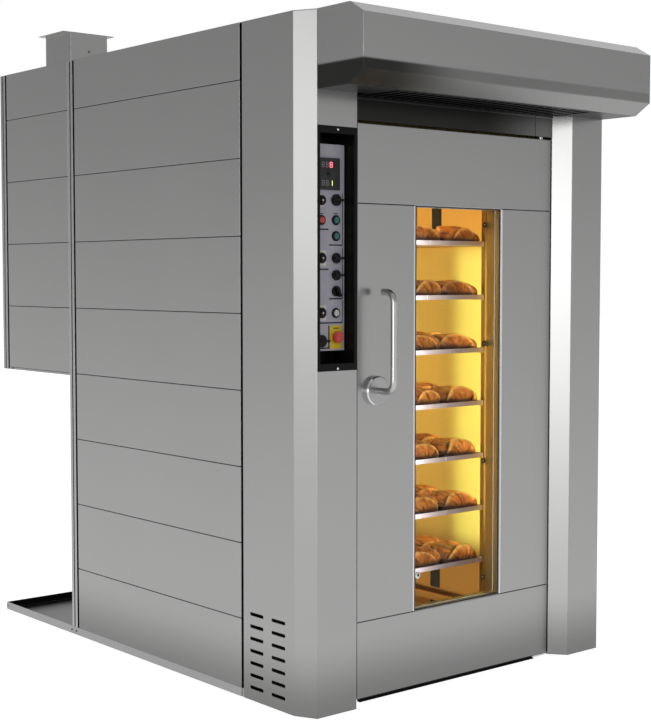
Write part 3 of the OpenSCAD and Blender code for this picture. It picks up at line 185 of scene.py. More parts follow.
# %% [markdown]
# ## The studio
#
# Brushed steel mirrors the room, blurred, so the room is the first finish. It is white near
# the floor and darkens with height, which gives the sheets their upright gradient. It is a
# little lighter in front of the oven than beside it. A low soft box and a taller window stand
# at the left, and a white screen closes the room at the back. Lamps could do the same, but as
# a sky the whole room is smooth and costs no noise.

# %% The room
front_side = (0.30, -0.954, 0.0)
soft_box_side = (-0.877, -0.480, 0.0)
window_side = (-0.989, 0.150, 0.0)
sines = (-1.0, -0.22, -0.155, -0.085, -0.015, 0.052, 0.10, 0.15, 0.40, 0.80, 1.0)
front_levels = (0.96, 0.98, 0.97, 0.90, 0.81, 0.74, 0.69, 0.62, 0.50, 0.50, 0.75)
side_levels = (0.98, 1.0, 0.95, 0.82, 0.71, 0.57, 0.51, 0.47, 0.44, 0.46, 0.75)
# Each soft light: its side, the angles from there where it is gone and where it is full, its
# strength, and its lower and its upper edge by the sine of the height.
soft_lights = [(soft_box_side, 24, 4, 3.4, (-0.18, 0.0), (0.09, 0.20)),
               (window_side, 26, 3, 1.95, (-0.06, 0.06), (0.30, 0.60))]


def facing(tree, direction, side, wide, narrow):
    """1 where a direction lies within the narrow angle of a side, 0 beyond the wide one."""
    dot = add_node(tree, "ShaderNodeVectorMath", {0: direction, 1: side}, operation="DOT_PRODUCT")
    return soft_step(tree, dot.outputs["Value"],
                     *(math.cos(math.radians(angle)) for angle in (wide, narrow)))


def between(tree, value, low_edge, high_edge):
    """1 between two soft edges of a value, each given by where it starts and where it ends."""
    return product(tree, soft_step(tree, value, *low_edge),
                   soft_step(tree, value, *high_edge, 1, 0))


def height_ramp(tree, height, levels):
    """Grey levels placed by the sine of the height over the horizon."""
    band = add_node(tree, "ShaderNodeValToRGB", {"Fac": spread(tree, height, 0, 1, -1, 1)})
    marks = band.color_ramp.elements
    while len(marks) < len(levels):
        marks.new(0.5)
    for mark, sine, level in zip(marks, sines, levels):
        mark.position = (sine + 1) / 2
        mark.color = (level, level, level, 1)
    return band.outputs["Color"]


def room():
    """The world: two bands of light by height, two soft lights and a white screen."""
    world = bpy.data.worlds.new("studio")
    bpy.context.scene.world = world
    world.use_nodes = True
    tree = world.node_tree
    direction = add_node(tree, "ShaderNodeTexCoord").outputs["Generated"]
    height = add_node(tree, "ShaderNodeSeparateXYZ", {"Vector": direction}).outputs["Z"]
    lit = blend(tree, facing(tree, direction, front_side, 40, 18),
                height_ramp(tree, height, side_levels), height_ramp(tree, height, front_levels))
    for side, wide, narrow, strength, low_edge, high_edge in soft_lights:
        share = product(tree, facing(tree, direction, side, wide, narrow),
                        between(tree, height, low_edge, high_edge))
        glow = blend(tree, share, (0, 0, 0), (strength,) * 3)
        lit = blend(tree, 1.0, lit, glow, "ADD")
    path = add_node(tree, "ShaderNodeLightPath").outputs
    seen = maths(tree, "MAXIMUM", path["Is Camera Ray"], path["Is Transmission Ray"])
    screen = maths(tree, "MAXIMUM", seen, facing(tree, direction, view_along, 48, 30))
    fill(tree, tree.nodes["Background"], {"Color": blend(tree, screen, lit, (1, 1, 1))})


room()
print("soft box from", soft_box_side, "window from", window_side)

# %% [markdown]
# The floor is a pale sheet of paper. It still takes the oven's shadow, but what the camera
# or a pane sees of it is lifted to white, so that it runs into the screen behind without a
# line. Steel sees the lower half of the room in its place, which is as white.

# %% The floor
floor_reach = 40.0
floor_gap = 0.5 * MM


def paper():
    """Paper that looks white to the camera and keeps its shadow."""
    tree, shader = new_finish("paper")
    fill(tree, shader, {"Base Color": (0.9, 0.9, 0.9, 1), "Roughness": 0.9,
                        "Specular IOR Level": 0.1})
    path = add_node(tree, "ShaderNodeLightPath").outputs
    seen = path["Is Camera Ray"]
    for other in ("Is Glossy Ray", "Is Transmission Ray"):
        seen = maths(tree, "MAXIMUM", seen, path[other])
    glow = add_node(tree, "ShaderNodeEmission", {"Color": (1, 1, 1, 1), "Strength": 1.5})
    mixed = add_node(tree, "ShaderNodeMixShader", {
        0: spread(tree, seen, 0.0, 0.6), 1: shader.outputs[0], 2: glow.outputs[0]})
    fill(tree, tree.nodes["Material Output"], {"Surface": mixed.outputs[0]})


paper()
floor_mesh = bpy.data.meshes.new("floor")
floor_mesh.from_pydata([(x * floor_reach, y * floor_reach, cad_low[2] - floor_gap)
                        for x, y in ((-1, -1), (1, -1), (1, 1), (-1, 1))], [], [(0, 1, 2, 3)])
floor_mesh.materials.append(finishes["paper"])
floor = bpy.data.objects.new("floor", floor_mesh)
bpy.context.scene.collection.objects.link(floor)
floor.visible_glossy = False
floor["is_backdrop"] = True
bpy.context.scene.view_settings.view_transform = "Standard"

# %% [markdown]
# ## Brushed steel
#
# The casing is stainless sheet with a fine upright or level grain. Grain could be drawn line
# by line, but at this size it only shows as a faint drag in the gloss, so a noise squeezed
# along one axis moves the roughness and a hair of relief. The folds of the sheets are rounded
# a few millimetres, which catches the soft light as a bright line along every edge.


# %% Steel finishes
# Near black for the painted shade and the painted dark reflections on the steel.
shade_black = (0.018, 0.017, 0.016)
steel_relief = 0.01 * MM


def brushed(name, tone, rough, grain, edge=0.001, metallic=1.0, painted_shade=None):
    """Steel of one tone, with its grain along the axes that the pattern stretches. The painted
    shade is a function that gives the share of near-black painted shade on the steel."""
    tree, shader = new_finish(name)
    drag = noise(tree, object_pattern(tree, grain), 1.0, 5.0, 0.6)
    cloud = noise(tree, object_pattern(tree), 1.7, 2.0)
    level = maths(tree, "MULTIPLY_ADD", drag, 0.5, spread(tree, cloud, 0.0, 0.5))
    colour = blend(tree, spread(tree, level, 0, 1, 0.3, 0.7),
                   tuple(c * 0.975 for c in tone), tuple(c * 1.025 for c in tone))
    # Painted shade laid over the steel's colour.
    if painted_shade:
        colour = blend(tree, painted_shade(tree), colour, shade_black)
    fill(tree, shader, {
        "Base Color": colour, "Roughness": spread(tree, drag, rough - 0.02, rough + 0.03),
        "Normal": bump(tree, drag, steel_relief, edge), "Metallic": metallic})


def reach_along(tree, axis, start, end):
    """0 before one place on an axis and 1 after the other, in metres."""
    place = add_node(tree, "ShaderNodeTexCoord").outputs["Object"]
    along = add_node(tree, "ShaderNodeSeparateXYZ", {"Vector": place}).outputs[axis]
    return soft_step(tree, along, start, end)


def foot_shade(tree):
    """Painted shade on the foot of each sheet, darkest at the floor: the shadow it mirrors."""
    return product(tree, reach_along(tree, "Z", foot_shade_top, 0.0), 0.50)


def hood_shade(tree):
    """Painted dark reflection on the lower slope of the hood, heaviest at the handle side."""
    lower = reach_along(tree, "Z", hood_fold_z + 5 * MM, hood_fold_z - 5 * MM)
    heavy = product(tree, reach_along(tree, "X", -0.24, -0.62), 0.52)
    light = spread(tree, reach_along(tree, "X", 0.6, -0.3), 0.27, 0.42)
    return product(tree, lower, maths(tree, "ADD", heavy, light))


def header_shade(tree):
    """Painted shade on the header under the hood, darkest towards the handle side."""
    return spread(tree, reach_along(tree, "X", 0.62, 0.12), 0.35, 0.955)


def pan_shade(tree):
    """Painted shade in the tray under the box, near black inside; its outer face stays bare."""
    return product(tree, reach_along(tree, "X", pan_left + 0.8 * MM, pan_left + 1.2 * MM), 0.95)


# The painted shade on the feet of the sheets reaches this high.
foot_shade_top = 0.26
hood_fold_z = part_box("hood_shell")[0][2] + 80 * MM
pan_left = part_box("service_tray")[0][0]
level_grain = (2, 2, 300)
upright_grain = (300, 300, 2)
casing_grey = (0.375, 0.375, 0.372)
brushed("casing_steel", casing_grey, 0.24, level_grain, 0.003, painted_shade=foot_shade)
brushed("hood_steel", casing_grey, 0.24, level_grain, 0.006, painted_shade=hood_shade)
brushed("header_steel", casing_grey, 0.28, level_grain, 0.003, painted_shade=header_shade)
brushed("pan_steel", (0.36,) * 3, 0.30, (4, 4, 90), 0.0, painted_shade=pan_shade)
# The jamb's gold is a painted reflection of the lit chamber.
brushed("jamb_steel", (0.55, 0.46, 0.16), 0.42, upright_grain, metallic=0.6)
brushed("tinted_steel", (0.50, 0.40, 0.20), 0.34, (60, 60, 4), metallic=0.8)
brushed("tray_metal", (0.80, 0.70, 0.74), 0.26, (40, 40, 4), metallic=0.5)
brushed("post_steel", (0.42,) * 3, 0.24, upright_grain, 0.0012)
brushed("base_steel", (0.34,) * 3, 0.28, (2, 2, 200))
brushed("satin_steel", (0.40,) * 3, 0.28, (60,) * 3, 0.0)
brushed("bright_steel", (0.66, 0.66, 0.67), 0.13, upright_grain)
brushed("handle_steel", (0.50,) * 3, 0.25, (300, 300, 3))
brushed("shaft_steel", (0.55, 0.55, 0.56), 0.24, upright_grain, 0.0008)
brushed("fan_metal", (0.55, 0.56, 0.58), 0.35, (60,) * 3)
# The hood filter is near black as painted shade under the hood.
brushed("shaded_filter_steel", (0.02, 0.02, 0.021), 0.42, (80,) * 3)
brushed("screw_black", (0.05,) * 3, 0.35, (300,) * 3, 0.0006)
brushed("burnt_steel", (0.30, 0.24, 0.20), 0.45, (12,) * 3, 0.002)


def window_trim():
    """Polished on the face of the door, brushed deeper in, between the panes. The gold there is
    a painted reflection of the lit chamber.
    """
    tree, shader = new_finish("trim_steel")
    drag = noise(tree, object_pattern(tree, upright_grain), 1.0, 5.0)
    deep = reach_along(tree, "Y", door_face + 4 * MM, door_face + 8 * MM)
    bare = blend(tree, drag, (0.64, 0.64, 0.65), (0.68, 0.68, 0.69))
    # Painted reflection of the lit chamber on the reveal between the panes.
    gold = blend(tree, drag, (0.50, 0.40, 0.13), (0.60, 0.48, 0.17))
    fill(tree, shader, {
        "Base Color": blend(tree, deep, bare, gold), "Roughness": spread(tree, deep, 0.13, 0.42),
        "Metallic": spread(tree, deep, 1.0, 0.6), "Normal": bump(tree, drag, steel_relief, 0.001)})


door_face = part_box("door_sheets")[0][1]
window_trim()

# %% [markdown]
# The chamber is the same sheet after years at 250 degrees: the heat has drawn a straw-gold
# film over it. Its colour turns amber towards the top and a darker amber towards the foot.
# The film's thickness wanders slowly, so its colour does too, and the gloss is duller than
# outside.


# %% Heat-tinted lining
def heat_tinted():
    """Straw-gold steel with slow clouds of tint and a fine drag."""
    tree, shader = new_finish("heat_tinted_steel")
    cloud = noise(tree, object_pattern(tree), 2.2, 4.0, 0.55)
    drag = noise(tree, object_pattern(tree, (4, 4, 220)), 1.0, 4.0)
    tint = blend(tree, spread(tree, cloud, 0, 1, 0.35, 0.65),
                 (0.82, 0.70, 0.24), (0.90, 0.78, 0.28))
    # Amber towards the top, and a darker amber towards the foot.
    tint = blend(tree, reach_along(tree, "Z", 1.60, 1.72), tint, (0.80, 0.46, 0.11))
    tint = blend(tree, reach_along(tree, "Z", 0.42, 0.30), tint, (0.52, 0.28, 0.07))
    fill(tree, shader, {
        "Base Color": tint, "Roughness": spread(tree, drag, 0.36, 0.5),
        "Normal": bump(tree, drag, 0.05 * MM, 0.002), "Metallic": 0.25})


heat_tinted()

# %% [markdown]
# ## Paint, plastic, rubber and glass
#
# Paint, plastic and rubber share one recipe: a body colour that wanders a little, a gloss
# that wanders too, and a relief at the scale of the real skin, which is orange peel on paint
# and a fine grain on a moulding.


# %% Coats and mouldings
def coat(name, colour, rough, scale, relief, gloss=0.5):
    """A coloured skin with a relief of so many hundredths of a millimetre."""
    tree, shader = new_finish(name)
    skin = noise(tree, object_pattern(tree), scale, 3.0)
    cloud = noise(tree, object_pattern(tree), scale / 24, 2.0)
    darker, lighter = (tuple(c * share for c in colour) for share in (0.88, 1.12))
    fill(tree, shader, {
        "Base Color": blend(tree, cloud, darker, lighter),
        "Roughness": spread(tree, skin, rough - 0.05, rough + 0.05),
        "Normal": bump(tree, skin, relief / 100 * MM, 0.0008), "Specular IOR Level": gloss})


coat("niche_black", (0.005,) * 3, 0.32, 300, 5, 0.12)
coat("panel_lilac", (0.47, 0.45, 0.53), 0.38, 500, 2, 0.3)
coat("controller_black", (0.028, 0.028, 0.029), 0.40, 900, 3, 0.3)
coat("black_plastic", (0.008,) * 3, 0.34, 900, 3, 0.16)
coat("mark_black", (0.008,) * 3, 0.5, 900, 1, 0.1)
coat("button_red", (0.62, 0.045, 0.04), 0.30, 700, 2)
coat("button_green", (0.03, 0.17, 0.15), 0.28, 700, 2)
coat("button_white", (0.62, 0.62, 0.58), 0.32, 700, 2)
coat("plate_yellow", (0.75, 0.56, 0.02), 0.38, 500, 2)
coat("scale_white", (0.72, 0.70, 0.62), 0.40, 500, 2)
coat("rubber_black", (0.015, 0.015, 0.016), 0.62, 800, 8)
coat("wheel_rubber", (0.05, 0.045, 0.045), 0.60, 300, 10)
coat("burner_red", (0.45, 0.05, 0.03), 0.35, 160, 10)
coat("motor_grey", (0.10, 0.14, 0.18), 0.45, 120, 30)
coat("bead_blue_black", (0.012, 0.014, 0.03), 0.45, 700, 3)


def stone_wool():
    """Stone wool, near black so that the gaps between the sheets show painted shade: long soft
    fibres, and hardly any light back.
    """
    tree, shader = new_finish("stone_wool")
    fibre = noise(tree, object_pattern(tree, (90, 90, 500)), 1.0, 6.0, 0.7)
    fill(tree, shader, {
        "Base Color": blend(tree, fibre, (0.012, 0.011, 0.010), (0.035, 0.032, 0.028)),
        "Normal": bump(tree, fibre, 2 * MM), "Roughness": spread(tree, fibre, 0.85, 1.0)})


def clear_pane():
    """Coated glass that mirrors little, with a breath of unevenness."""
    tree, shader = new_finish("clear_pane")
    wave = noise(tree, object_pattern(tree), 3.0, 1.0)
    fill(tree, shader, {
        "Normal": bump(tree, wave, 0.02 * MM), "Roughness": spread(tree, wave, 0.0, 0.015),
        "Base Color": (0.97, 0.985, 0.975, 1), "Transmission Weight": 1.0, "IOR": 1.06})


def lamp_glass(name, colour, strength):
    """A tube that glows, a little less at its frosted clouds."""
    tree, shader = new_finish(name)
    frost = noise(tree, object_pattern(tree), 30.0, 2.0)
    fill(tree, shader, {
        "Base Color": (*colour, 1), "Emission Color": (*colour, 1),
        "Emission Strength": spread(tree, frost, strength * 0.85, strength * 1.15),
        "Roughness": spread(tree, frost, 0.2, 0.35)})


stone_wool()
clear_pane()
lamp_glass("warm_tube", (1.0, 0.80, 0.42), 3.0)

# %% [markdown]
# Every part of the frame now gets its finish. The table reads like the order list of the
# real oven, and the loop below tells if a part is forgotten.

# %% Finishes of the parts
parts_in = {
    "casing_steel":
        "side_panels left_column right_column rear_casing roof_panels flue_duct door_sheets",
    "jamb_steel": "door_jamb",
    "hood_steel": "hood_shell",
    "header_steel": "door_header",
    "pan_steel": "service_tray",
    "post_steel": "corner_posts",
    "tinted_steel": "rack_frame",
    "base_steel": "base_frame",
    "trim_steel": "door_trim",
    "handle_steel": "door_handle",
    "shaded_filter_steel": "hood_filter",
    "fan_metal": "hood_fan circulation_fan",
    "rubber_black": "door_gasket",
    "heat_tinted_steel": "chamber_liner",
    "warm_tube": "chamber_lamps",
    "stone_wool": "insulation door_core",
    "burnt_steel": "heat_exchanger flue_damper",
    "burner_red": "burner",
    "motor_grey": "drive_motors",
    "screw_black": "case_screws",
    "niche_black": "control_niche",
    "panel_lilac": "control_panel",
    "controller_black": "temperature_controller",
    "black_plastic":
        "thermostat_dial program_selector steam_dial timer_dial light_selector fan_selector "
        "rack_selector main_switch menu_button",
    "plate_yellow": "emergency_plate",
    "button_red": "stop_button emergency_stop",
    "button_green": "start_button steam_button",
    "button_white": "reset_button",
    "clear_pane": "window_panes",
    "shaft_steel": "door_pivots latch_spindle latch_bolt rack_shaft caster_left caster_right",
    "tray_metal": "baking_trays",
    "wheel_rubber": "wheel_front_left wheel_front_right wheel_rear_left wheel_rear_right",
}
unfinished = set(nodes)
for finish, parts in parts_in.items():
    for part in parts.split():
        unfinished.discard(part)
        for material_slot in nodes[part].material_slots:
            material_slot.material = finishes[finish]
print("parts without a finish:", sorted(unfinished))

# %% [markdown]
# ## Surfaces from formulas
#
# New pieces are surfaces over a grid: one number runs round, the other along, and numpy
# works out all the points at once. A grid is closed by joining its last column to its
# first, and a pole is closed by merging the points that fall together there.


# %% Grid meshes
def grid_faces(rows, columns, closed_rows=False):
    """Quads between neighbouring points of a grid that is closed across its columns."""
    steps = np.arange(rows if closed_rows else rows - 1)
    row, column = np.meshgrid(steps, np.arange(columns), indexing="ij")
    next_row, next_column = (row + 1) % rows, (column + 1) % columns
    corners = (row * columns + column, row * columns + next_column,
               next_row * columns + next_column, next_row * columns + column)
    return np.stack([corner.ravel() for corner in corners], axis=1)


def stack(parts):
    """Several (points, faces) pairs as one."""
    points, faces, start = [], [], 0
    for part_points, part_faces in parts:
        points.append(part_points)
        faces.append(part_faces + start)
        start += len(part_points)
    return np.concatenate(points), np.concatenate(faces)


def make_piece(name, shape, finish, body, smooth=True, values=None):
    """A mesh object from points and quads, with its doubles merged and its faces outwards."""
    points, faces = shape
    mesh = bpy.data.meshes.new(name)
    mesh.from_pydata(points.tolist(), [], faces.tolist())
    for key, numbers in (values or {}).items():
        layer = mesh.attributes.new(key, "FLOAT", "POINT")
        layer.data.foreach_set("value", numbers.astype(np.float32))
    shell = bmesh.new()
    shell.from_mesh(mesh)
    bmesh.ops.remove_doubles(shell, verts=shell.verts, dist=1e-6)
    bmesh.ops.recalc_face_normals(shell, faces=shell.faces)
    shell.to_mesh(mesh)
    shell.free()
    mesh.polygons.foreach_set("use_smooth", [smooth] * len(mesh.polygons))
    mesh.materials.append(finishes[finish])
    piece = bpy.data.objects.new(name, mesh)
    bpy.context.scene.collection.objects.link(piece)
    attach(piece, body)
    print(f"{name}: {len(mesh.polygons)} faces, moves with {body}")
    return piece


def turned(profile, centre, around=32):
    """A profile of (radius, distance towards the viewer) turned about an axis along Y."""
    angle = np.linspace(0, 2 * np.pi, around, endpoint=False)
    radius, out = profile[:, :1], profile[:, 1:]
    points = np.stack([
        centre[0] + radius * np.cos(angle), centre[1] - out + 0 * angle,
        centre[2] + radius * np.sin(angle)], axis=-1)
    return points.reshape(-1, 3), grid_faces(len(profile), around)


def closed_ring(profile, centre, around=40):
    """A closed profile turned about an axis along Y, as a ring."""
    points, _ = turned(profile, centre, around)
    return points, grid_faces(len(profile), around, closed_rows=True)


def flat_bar(corner_a, corner_b, round_off=0.3 * MM):
    """A thin plate between two corners, its front edge drawn in a little: a rectangle
    carried along Y through four outlines, the last two closing it at its middle."""
    low, high = np.minimum(corner_a, corner_b), np.maximum(corner_a, corner_b)
    middle, half = (low + high) / 2, (high - low) / 2
    around = np.array([(-1, -1), (1, -1), (1, 1), (-1, 1)], float)
    rings = []
    for share, inset, y in (
            (0, 0, high[1]), (1, 0, high[1]), (1, 0, low[1] + round_off),
            (1, round_off, low[1]), (0, 0, low[1])):
        size = np.maximum(half[[0, 2]] * share - inset * share, 0)
        flat = middle[[0, 2]] + around * size
        rings.append(np.column_stack([flat[:, 0], np.full(4, y), flat[:, 1]]))
    return np.concatenate(rings), grid_faces(5, 4)


# %% [markdown]
# ## The bread
#
# Each tray carries rows of crusty loaves. A loaf is an ellipse that swells from a flat foot
# and closes over the top: the radius follows a cosine and the height a sine, with a power
# that fills the shoulders. The dough was folded before it was baked, so its layers lap over
# each other like the scales of a shell. A saw runs outwards from the front of the loaf: it
# climbs slowly over a layer and falls sharply at its rim. The rim gets a painted highlight,
# the crease and the foot of the loaf a painted shade, and both are kept as attributes for the
# crust. So are the distance from the front and the angle round it, along which the crust is
# drawn out into fine veins. Every loaf is turned and sized a little differently, from a
# seeded draw.

# %% Loaves
tray_low, tray_high = np.array(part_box("baking_trays"))
tray_count = 7
tray_wall = 18 * MM
tray_step = (tray_high[2] - tray_low[2] - tray_wall) / (tray_count - 1)
# Each column of loaves: its middle across the tray, and a loaf's width and height.
loaf_places = (
    (-0.302, 0.208, 0.076), (-0.101, 0.208, 0.076), (0.101, 0.208, 0.076),
    (0.300, 0.202, 0.076), (0.364, 0.074, 0.056))
loaf_rows = 5
loaf_deep = 0.172
row_pitch = 0.983 * loaf_deep
front_row = 4 * MM
tray_floor = 2.2 * MM
fold_edges = (0.0, 0.40, 0.66, 0.92, 1.2)
folds_passed = (0.12, 0.88, 1.88, 2.88, 3.88)
fold_jump = 0.88
dice = np.random.default_rng(7)


def fold_saw(u):
    """A saw of period 1 that climbs from 0 to 1 up to the rim and falls back after it, with
    painted shade in the crease at its foot and a painted highlight on the rim at its top."""
    share = np.mod(u, 1.0)
    climbing = share / fold_jump
    falling = (1 - share) / (1 - fold_jump)
    height = np.where(share < fold_jump, climbing, falling)
    from_foot = np.minimum(share, 1 - share)
    # Painted shade in the crease of each fold.
    crease = np.exp(-(from_foot / 0.10) ** 2)
    # Painted highlight on the rim of each fold.
    rim = np.exp(-((share - fold_jump + 0.03) / 0.06) ** 2)
    return height, crease, rim


def loaf(centre, size, turn, seed, around=96, along=34):
    """One loaf. With a the angle round and b the angle up from under the foot, the half width
    is cos(b) to the power 0.62 and the height is sin(b), lifted to the foot. Both swell with
    the fold saw of the distance from a point at the front of the foot. It returns the shape
    and the marks for the crust."""
    a = np.linspace(0, 2 * np.pi, around, endpoint=False)
    foot = math.radians(40)
    b = np.concatenate([[-foot], np.linspace(-foot, np.pi / 2, along)])[:, None]
    width = np.abs(np.cos(b)) ** 0.62
    width[[0, -1]] = 0
    up = (np.sin(b) + math.sin(foot)) / (1 + math.sin(foot))
    wobble = 1 + 0.035 * np.sin(2 * a + seed) + 0.02 * np.sin(3 * a + 2.3 * seed)
    x = 0.5 * width * np.cos(a) * wobble
    y = 0.5 * width * np.sign(np.sin(a)) * np.abs(np.sin(a)) ** 0.62 * wobble
    front_x = 0.10 * math.sin(3 * seed)
    bend = 0.025 * np.sin(5 * x + 7 * y + seed)
    distance = bend + np.sqrt(
        (x - front_x) ** 2 + (0.7 * (y + 0.50)) ** 2 + (0.40 * up) ** 2)
    angle = np.arctan2(0.6 * up + 0.5 * (y + 0.5), x - front_x)
    stretch = 1 + 0.08 * math.sin(5 * seed)
    height, crease, rim = fold_saw(np.interp(distance * stretch, fold_edges, folds_passed))
    top = np.clip((up - 0.08) / 0.2, 0, 1)
    swell = 1 + 0.13 * (height - 0.75) * np.clip((up - 0.03) / 0.15, 0, 1)
    z = up * (1 + 0.28 * (height - 0.75) * top)
    # Painted shade on the lower part of the loaf, darkest at its foot over the tray's lip.
    shade = np.clip((0.52 - up) / 0.24, 0, 1) + 0 * x
    x, y, z = x * swell * size[0], y * swell * size[1], z * size[2]
    c, s = math.cos(turn), math.sin(turn)
    points = np.stack([
        centre[0] + c * x - s * y, centre[1] + s * x + c * y, centre[2] + z], axis=-1)
    shape = (points.reshape(-1, 3), grid_faces(len(b), around))
    marks = {"crease": np.maximum(crease * top, shade), "rim": rim * top,
             "outwards": distance + 10 * seed, "turn": angle}
    return shape, {key: value.ravel() for key, value in marks.items()}


def as_grey(tree, value):
    """A number as a grey, so that two patterns can be mixed."""
    return add_node(tree, "ShaderNodeCombineColor", dict.fromkeys(range(3), value)).outputs[0]


def crust():
    """Golden crust, veined brown on the folds, with a painted highlight on their rims and painted
    shade in the creases and at the foot of each loaf.
    """
    tree, shader = new_finish("crust")
    crumb = noise(tree, object_pattern(tree), 60.0, 5.0, 0.65)
    bake = noise(tree, object_pattern(tree), 22.0, 3.0)
    blister = noise(tree, object_pattern(tree), 230.0, 3.0)
    crease, rim, outwards, turn = (
        add_node(tree, "ShaderNodeAttribute", attribute_name=name).outputs["Fac"]
        for name in ("crease", "rim", "outwards", "turn"))
    fan = add_node(tree, "ShaderNodeCombineXYZ", {
        "X": product(tree, turn, 5.0), "Y": product(tree, outwards, 2.2)}).outputs[0]
    vein = noise(tree, fan, 1.0, 5.0, 0.75)
    skin = blend(tree, spread(tree, bake, 0, 1, 0.35, 0.65),
                 (0.50, 0.165, 0.022), (0.82, 0.33, 0.060))
    # The last two layers are a painted highlight on the rims and painted shade in the creases and
    # at the feet.
    layers = ((spread(tree, vein, 1.0, 0.0, 0.38, 0.53), (0.11, 0.022, 0.004)),
              (spread(tree, crumb, 0.85, 0.0, 0.36, 0.5), (0.22, 0.055, 0.008)),
              (product(tree, rim, spread(tree, vein, 0.3, 1.0, 0.35, 0.55)), (1.0, 0.66, 0.24)),
              (product(tree, crease, 0.95), (0.035, 0.007, 0.004)))
    for share, colour in layers:
        skin = blend(tree, share, skin, colour)
    blistered = blend(tree, 0.5, as_grey(tree, vein), as_grey(tree, blister))
    fill(tree, shader, {
        "Base Color": skin, "Roughness": spread(tree, crumb, 0.32, 0.50),
        "Normal": bump(tree, blistered, 4 * MM), "Coat Weight": 0.2, "Coat Roughness": 0.25})


crust()
for level in range(tray_count):
    foot_z = tray_low[2] + level * tray_step + tray_floor
    parts, marks = [], []
    for across, wide, high in loaf_places:
        for row in range(loaf_rows):
            place = np.array([across + dice.uniform(-3 * MM, 3 * MM),
                              tray_low[1] + front_row + loaf_deep / 2 + row * row_pitch, foot_z])
            size = np.array([wide, loaf_deep, high]) * dice.uniform(0.96, 1.0, 3)
            turn, seed = dice.uniform(-0.12, 0.12), dice.uniform(0, 6)
            shape, mark = loaf(place, size, turn, seed)
            parts.append(shape)
            marks.append(mark)
    values = {key: np.concatenate([mark[key] for mark in marks]) for key in marks[0]}
    make_piece(f"loaves_{level + 1}", stack(parts), "crust", "rack",
                            values=values)
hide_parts("bread_loaves")
print("loaves:", tray_count * loaf_rows * len(loaf_places))

# %% [markdown]
# ## Round the window
#
# The front pane is bedded in a dark bead that shows as a thin line round the opening. The
# middle pane has a steel frame of the same section, round buttons on dark washers hold the
# inner one, and a steel cap with a socket sits low at the front pane's left edge. The bead is
# one profile carried round the rectangle, and the rest are profiles turned about an axis.

# %% Bead and buttons of the window
pane_low, pane_high = np.array(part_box("window_panes"))
front_pane_y = door_face + 4 * MM
middle_pane_y = door_face + 31 * MM
inner_pane_y = pane_high[1] - 4.2 * MM
bead_wide, bead_deep, bead_gap = 5 * MM, 3.2 * MM, 0.1 * MM


def bead(pane_front):
    """A half-round profile carried round the rectangle of the pane."""
    bend = np.linspace(0, np.pi, 9)
    inwards = np.concatenate([bead_wide / 2 * (1 - np.cos(bend)), [bead_wide, 0.0]])
    out = np.concatenate([bead_deep * (0.35 + 0.65 * np.sin(bend)), [0.0, 0.0]])
    (left, _, foot), (right, _, top) = pane_low, pane_high
    x, z, way_x, way_z = np.array([(left, foot, 1, 1), (right, foot, -1, 1),
                                   (right, top, -1, -1), (left, top, 1, -1)]).T[:, :, None]
    points = np.stack([x + way_x * inwards, pane_front - bead_gap - out + 0 * x,
                       z + way_z * inwards], axis=-1)
    return points.reshape(-1, 3), grid_faces(4, len(inwards), closed_rows=True)


make_piece("pane_bead", bead(front_pane_y), "bead_blue_black", "door", smooth=False)
make_piece("middle_pane_frame", bead(middle_pane_y), "shaft_steel", "door",
           smooth=False)

# %% Cap and buttons of the panes
button_in, button_end, button_steps = 19 * MM, 58 * MM, 3
cap_up = 130 * MM
cap_place = (pane_low[0] + button_in, front_pane_y, pane_low[2] + cap_up)
cap_profile = MM * np.array([
    (0, 1.6), (1.6, 1.6), (2.2, 3.4), (6.5, 3.0), (9.5, 1.4), (10.5, 1.2), (13.0, 0.9),
    (13.4, 0.0), (0, 0.0)])
socket_profile = np.array([(0, 4.0), (4.4, 4.0), (5.0, 3.6), (5.2, 3.0), (0, 3.0)]) * MM
make_piece("pane_cap", turned(cap_profile, cap_place, 36), "bright_steel", "door")
make_piece("pane_cap_socket", turned(socket_profile, cap_place, 28), "mark_black", "door")

button_pitch = (pane_high[2] - pane_low[2] - 2 * button_end) / button_steps
spots = [(side * (pane_high[0] - button_in), inner_pane_y,
          pane_low[2] + button_end + step * button_pitch)
         for side in (-1, 1) for step in range(button_steps + 1)]
button_profile = MM * np.array([
    (0, 2.0), (2.4, 1.9), (4.0, 1.4), (4.8, 0.5), (4.9, 0.0), (0, 0.0)])
washer = np.array([(5.0, 0.2), (5.2, 1.4), (8.0, 1.8), (9.6, 0.9), (9.8, 0.0)]) * MM
make_piece("pane_buttons", stack([turned(button_profile, spot, 24) for spot in spots]),
           "tinted_steel", "door")
make_piece("pane_washers", stack([closed_ring(washer, spot, 24) for spot in spots]),
           "mark_black", "door")

# %% [markdown]
# A rubber wiper hangs from the door's foot nearly to the floor and bends forward there. It
# ends before the lower hinge bracket. It is one profile carried along the door. Its black
# foot, laid forward on the floor, is a painted shadow: from outside it draws the black line
# under the door.

# %% Sweep of the door
door_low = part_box("door_sheets")[0]
# The forward foot of this profile is a painted shadow on the floor under the door.
wiper_and_shadow_profile = MM * np.array([
    (0.8, 0.0), (0.6, -4.5), (-11.0, -7.0), (-12.5, -8.0), (-11.0, -8.4), (2.6, -7.8),
    (3.6, -4.0), (3.6, 0.0)])
wiper_start = door_low[0] + 3 * MM
wiper_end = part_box("door_pivots")[0][0] - 6 * MM


def carried_along_x(profile, start, end, y, z):
    """A closed profile of (depth, height) drawn straight along X, with both ends closed."""
    shares = ((start, 0.0), (start, 1.0), (end, 1.0), (end, 0.0))
    middle = profile.mean(axis=0)
    rings = [np.column_stack([
        np.full(len(profile), x), (y, z) + middle + share * (profile - middle)])
        for x, share in shares]
    return np.concatenate(rings), grid_faces(len(shares), len(profile))


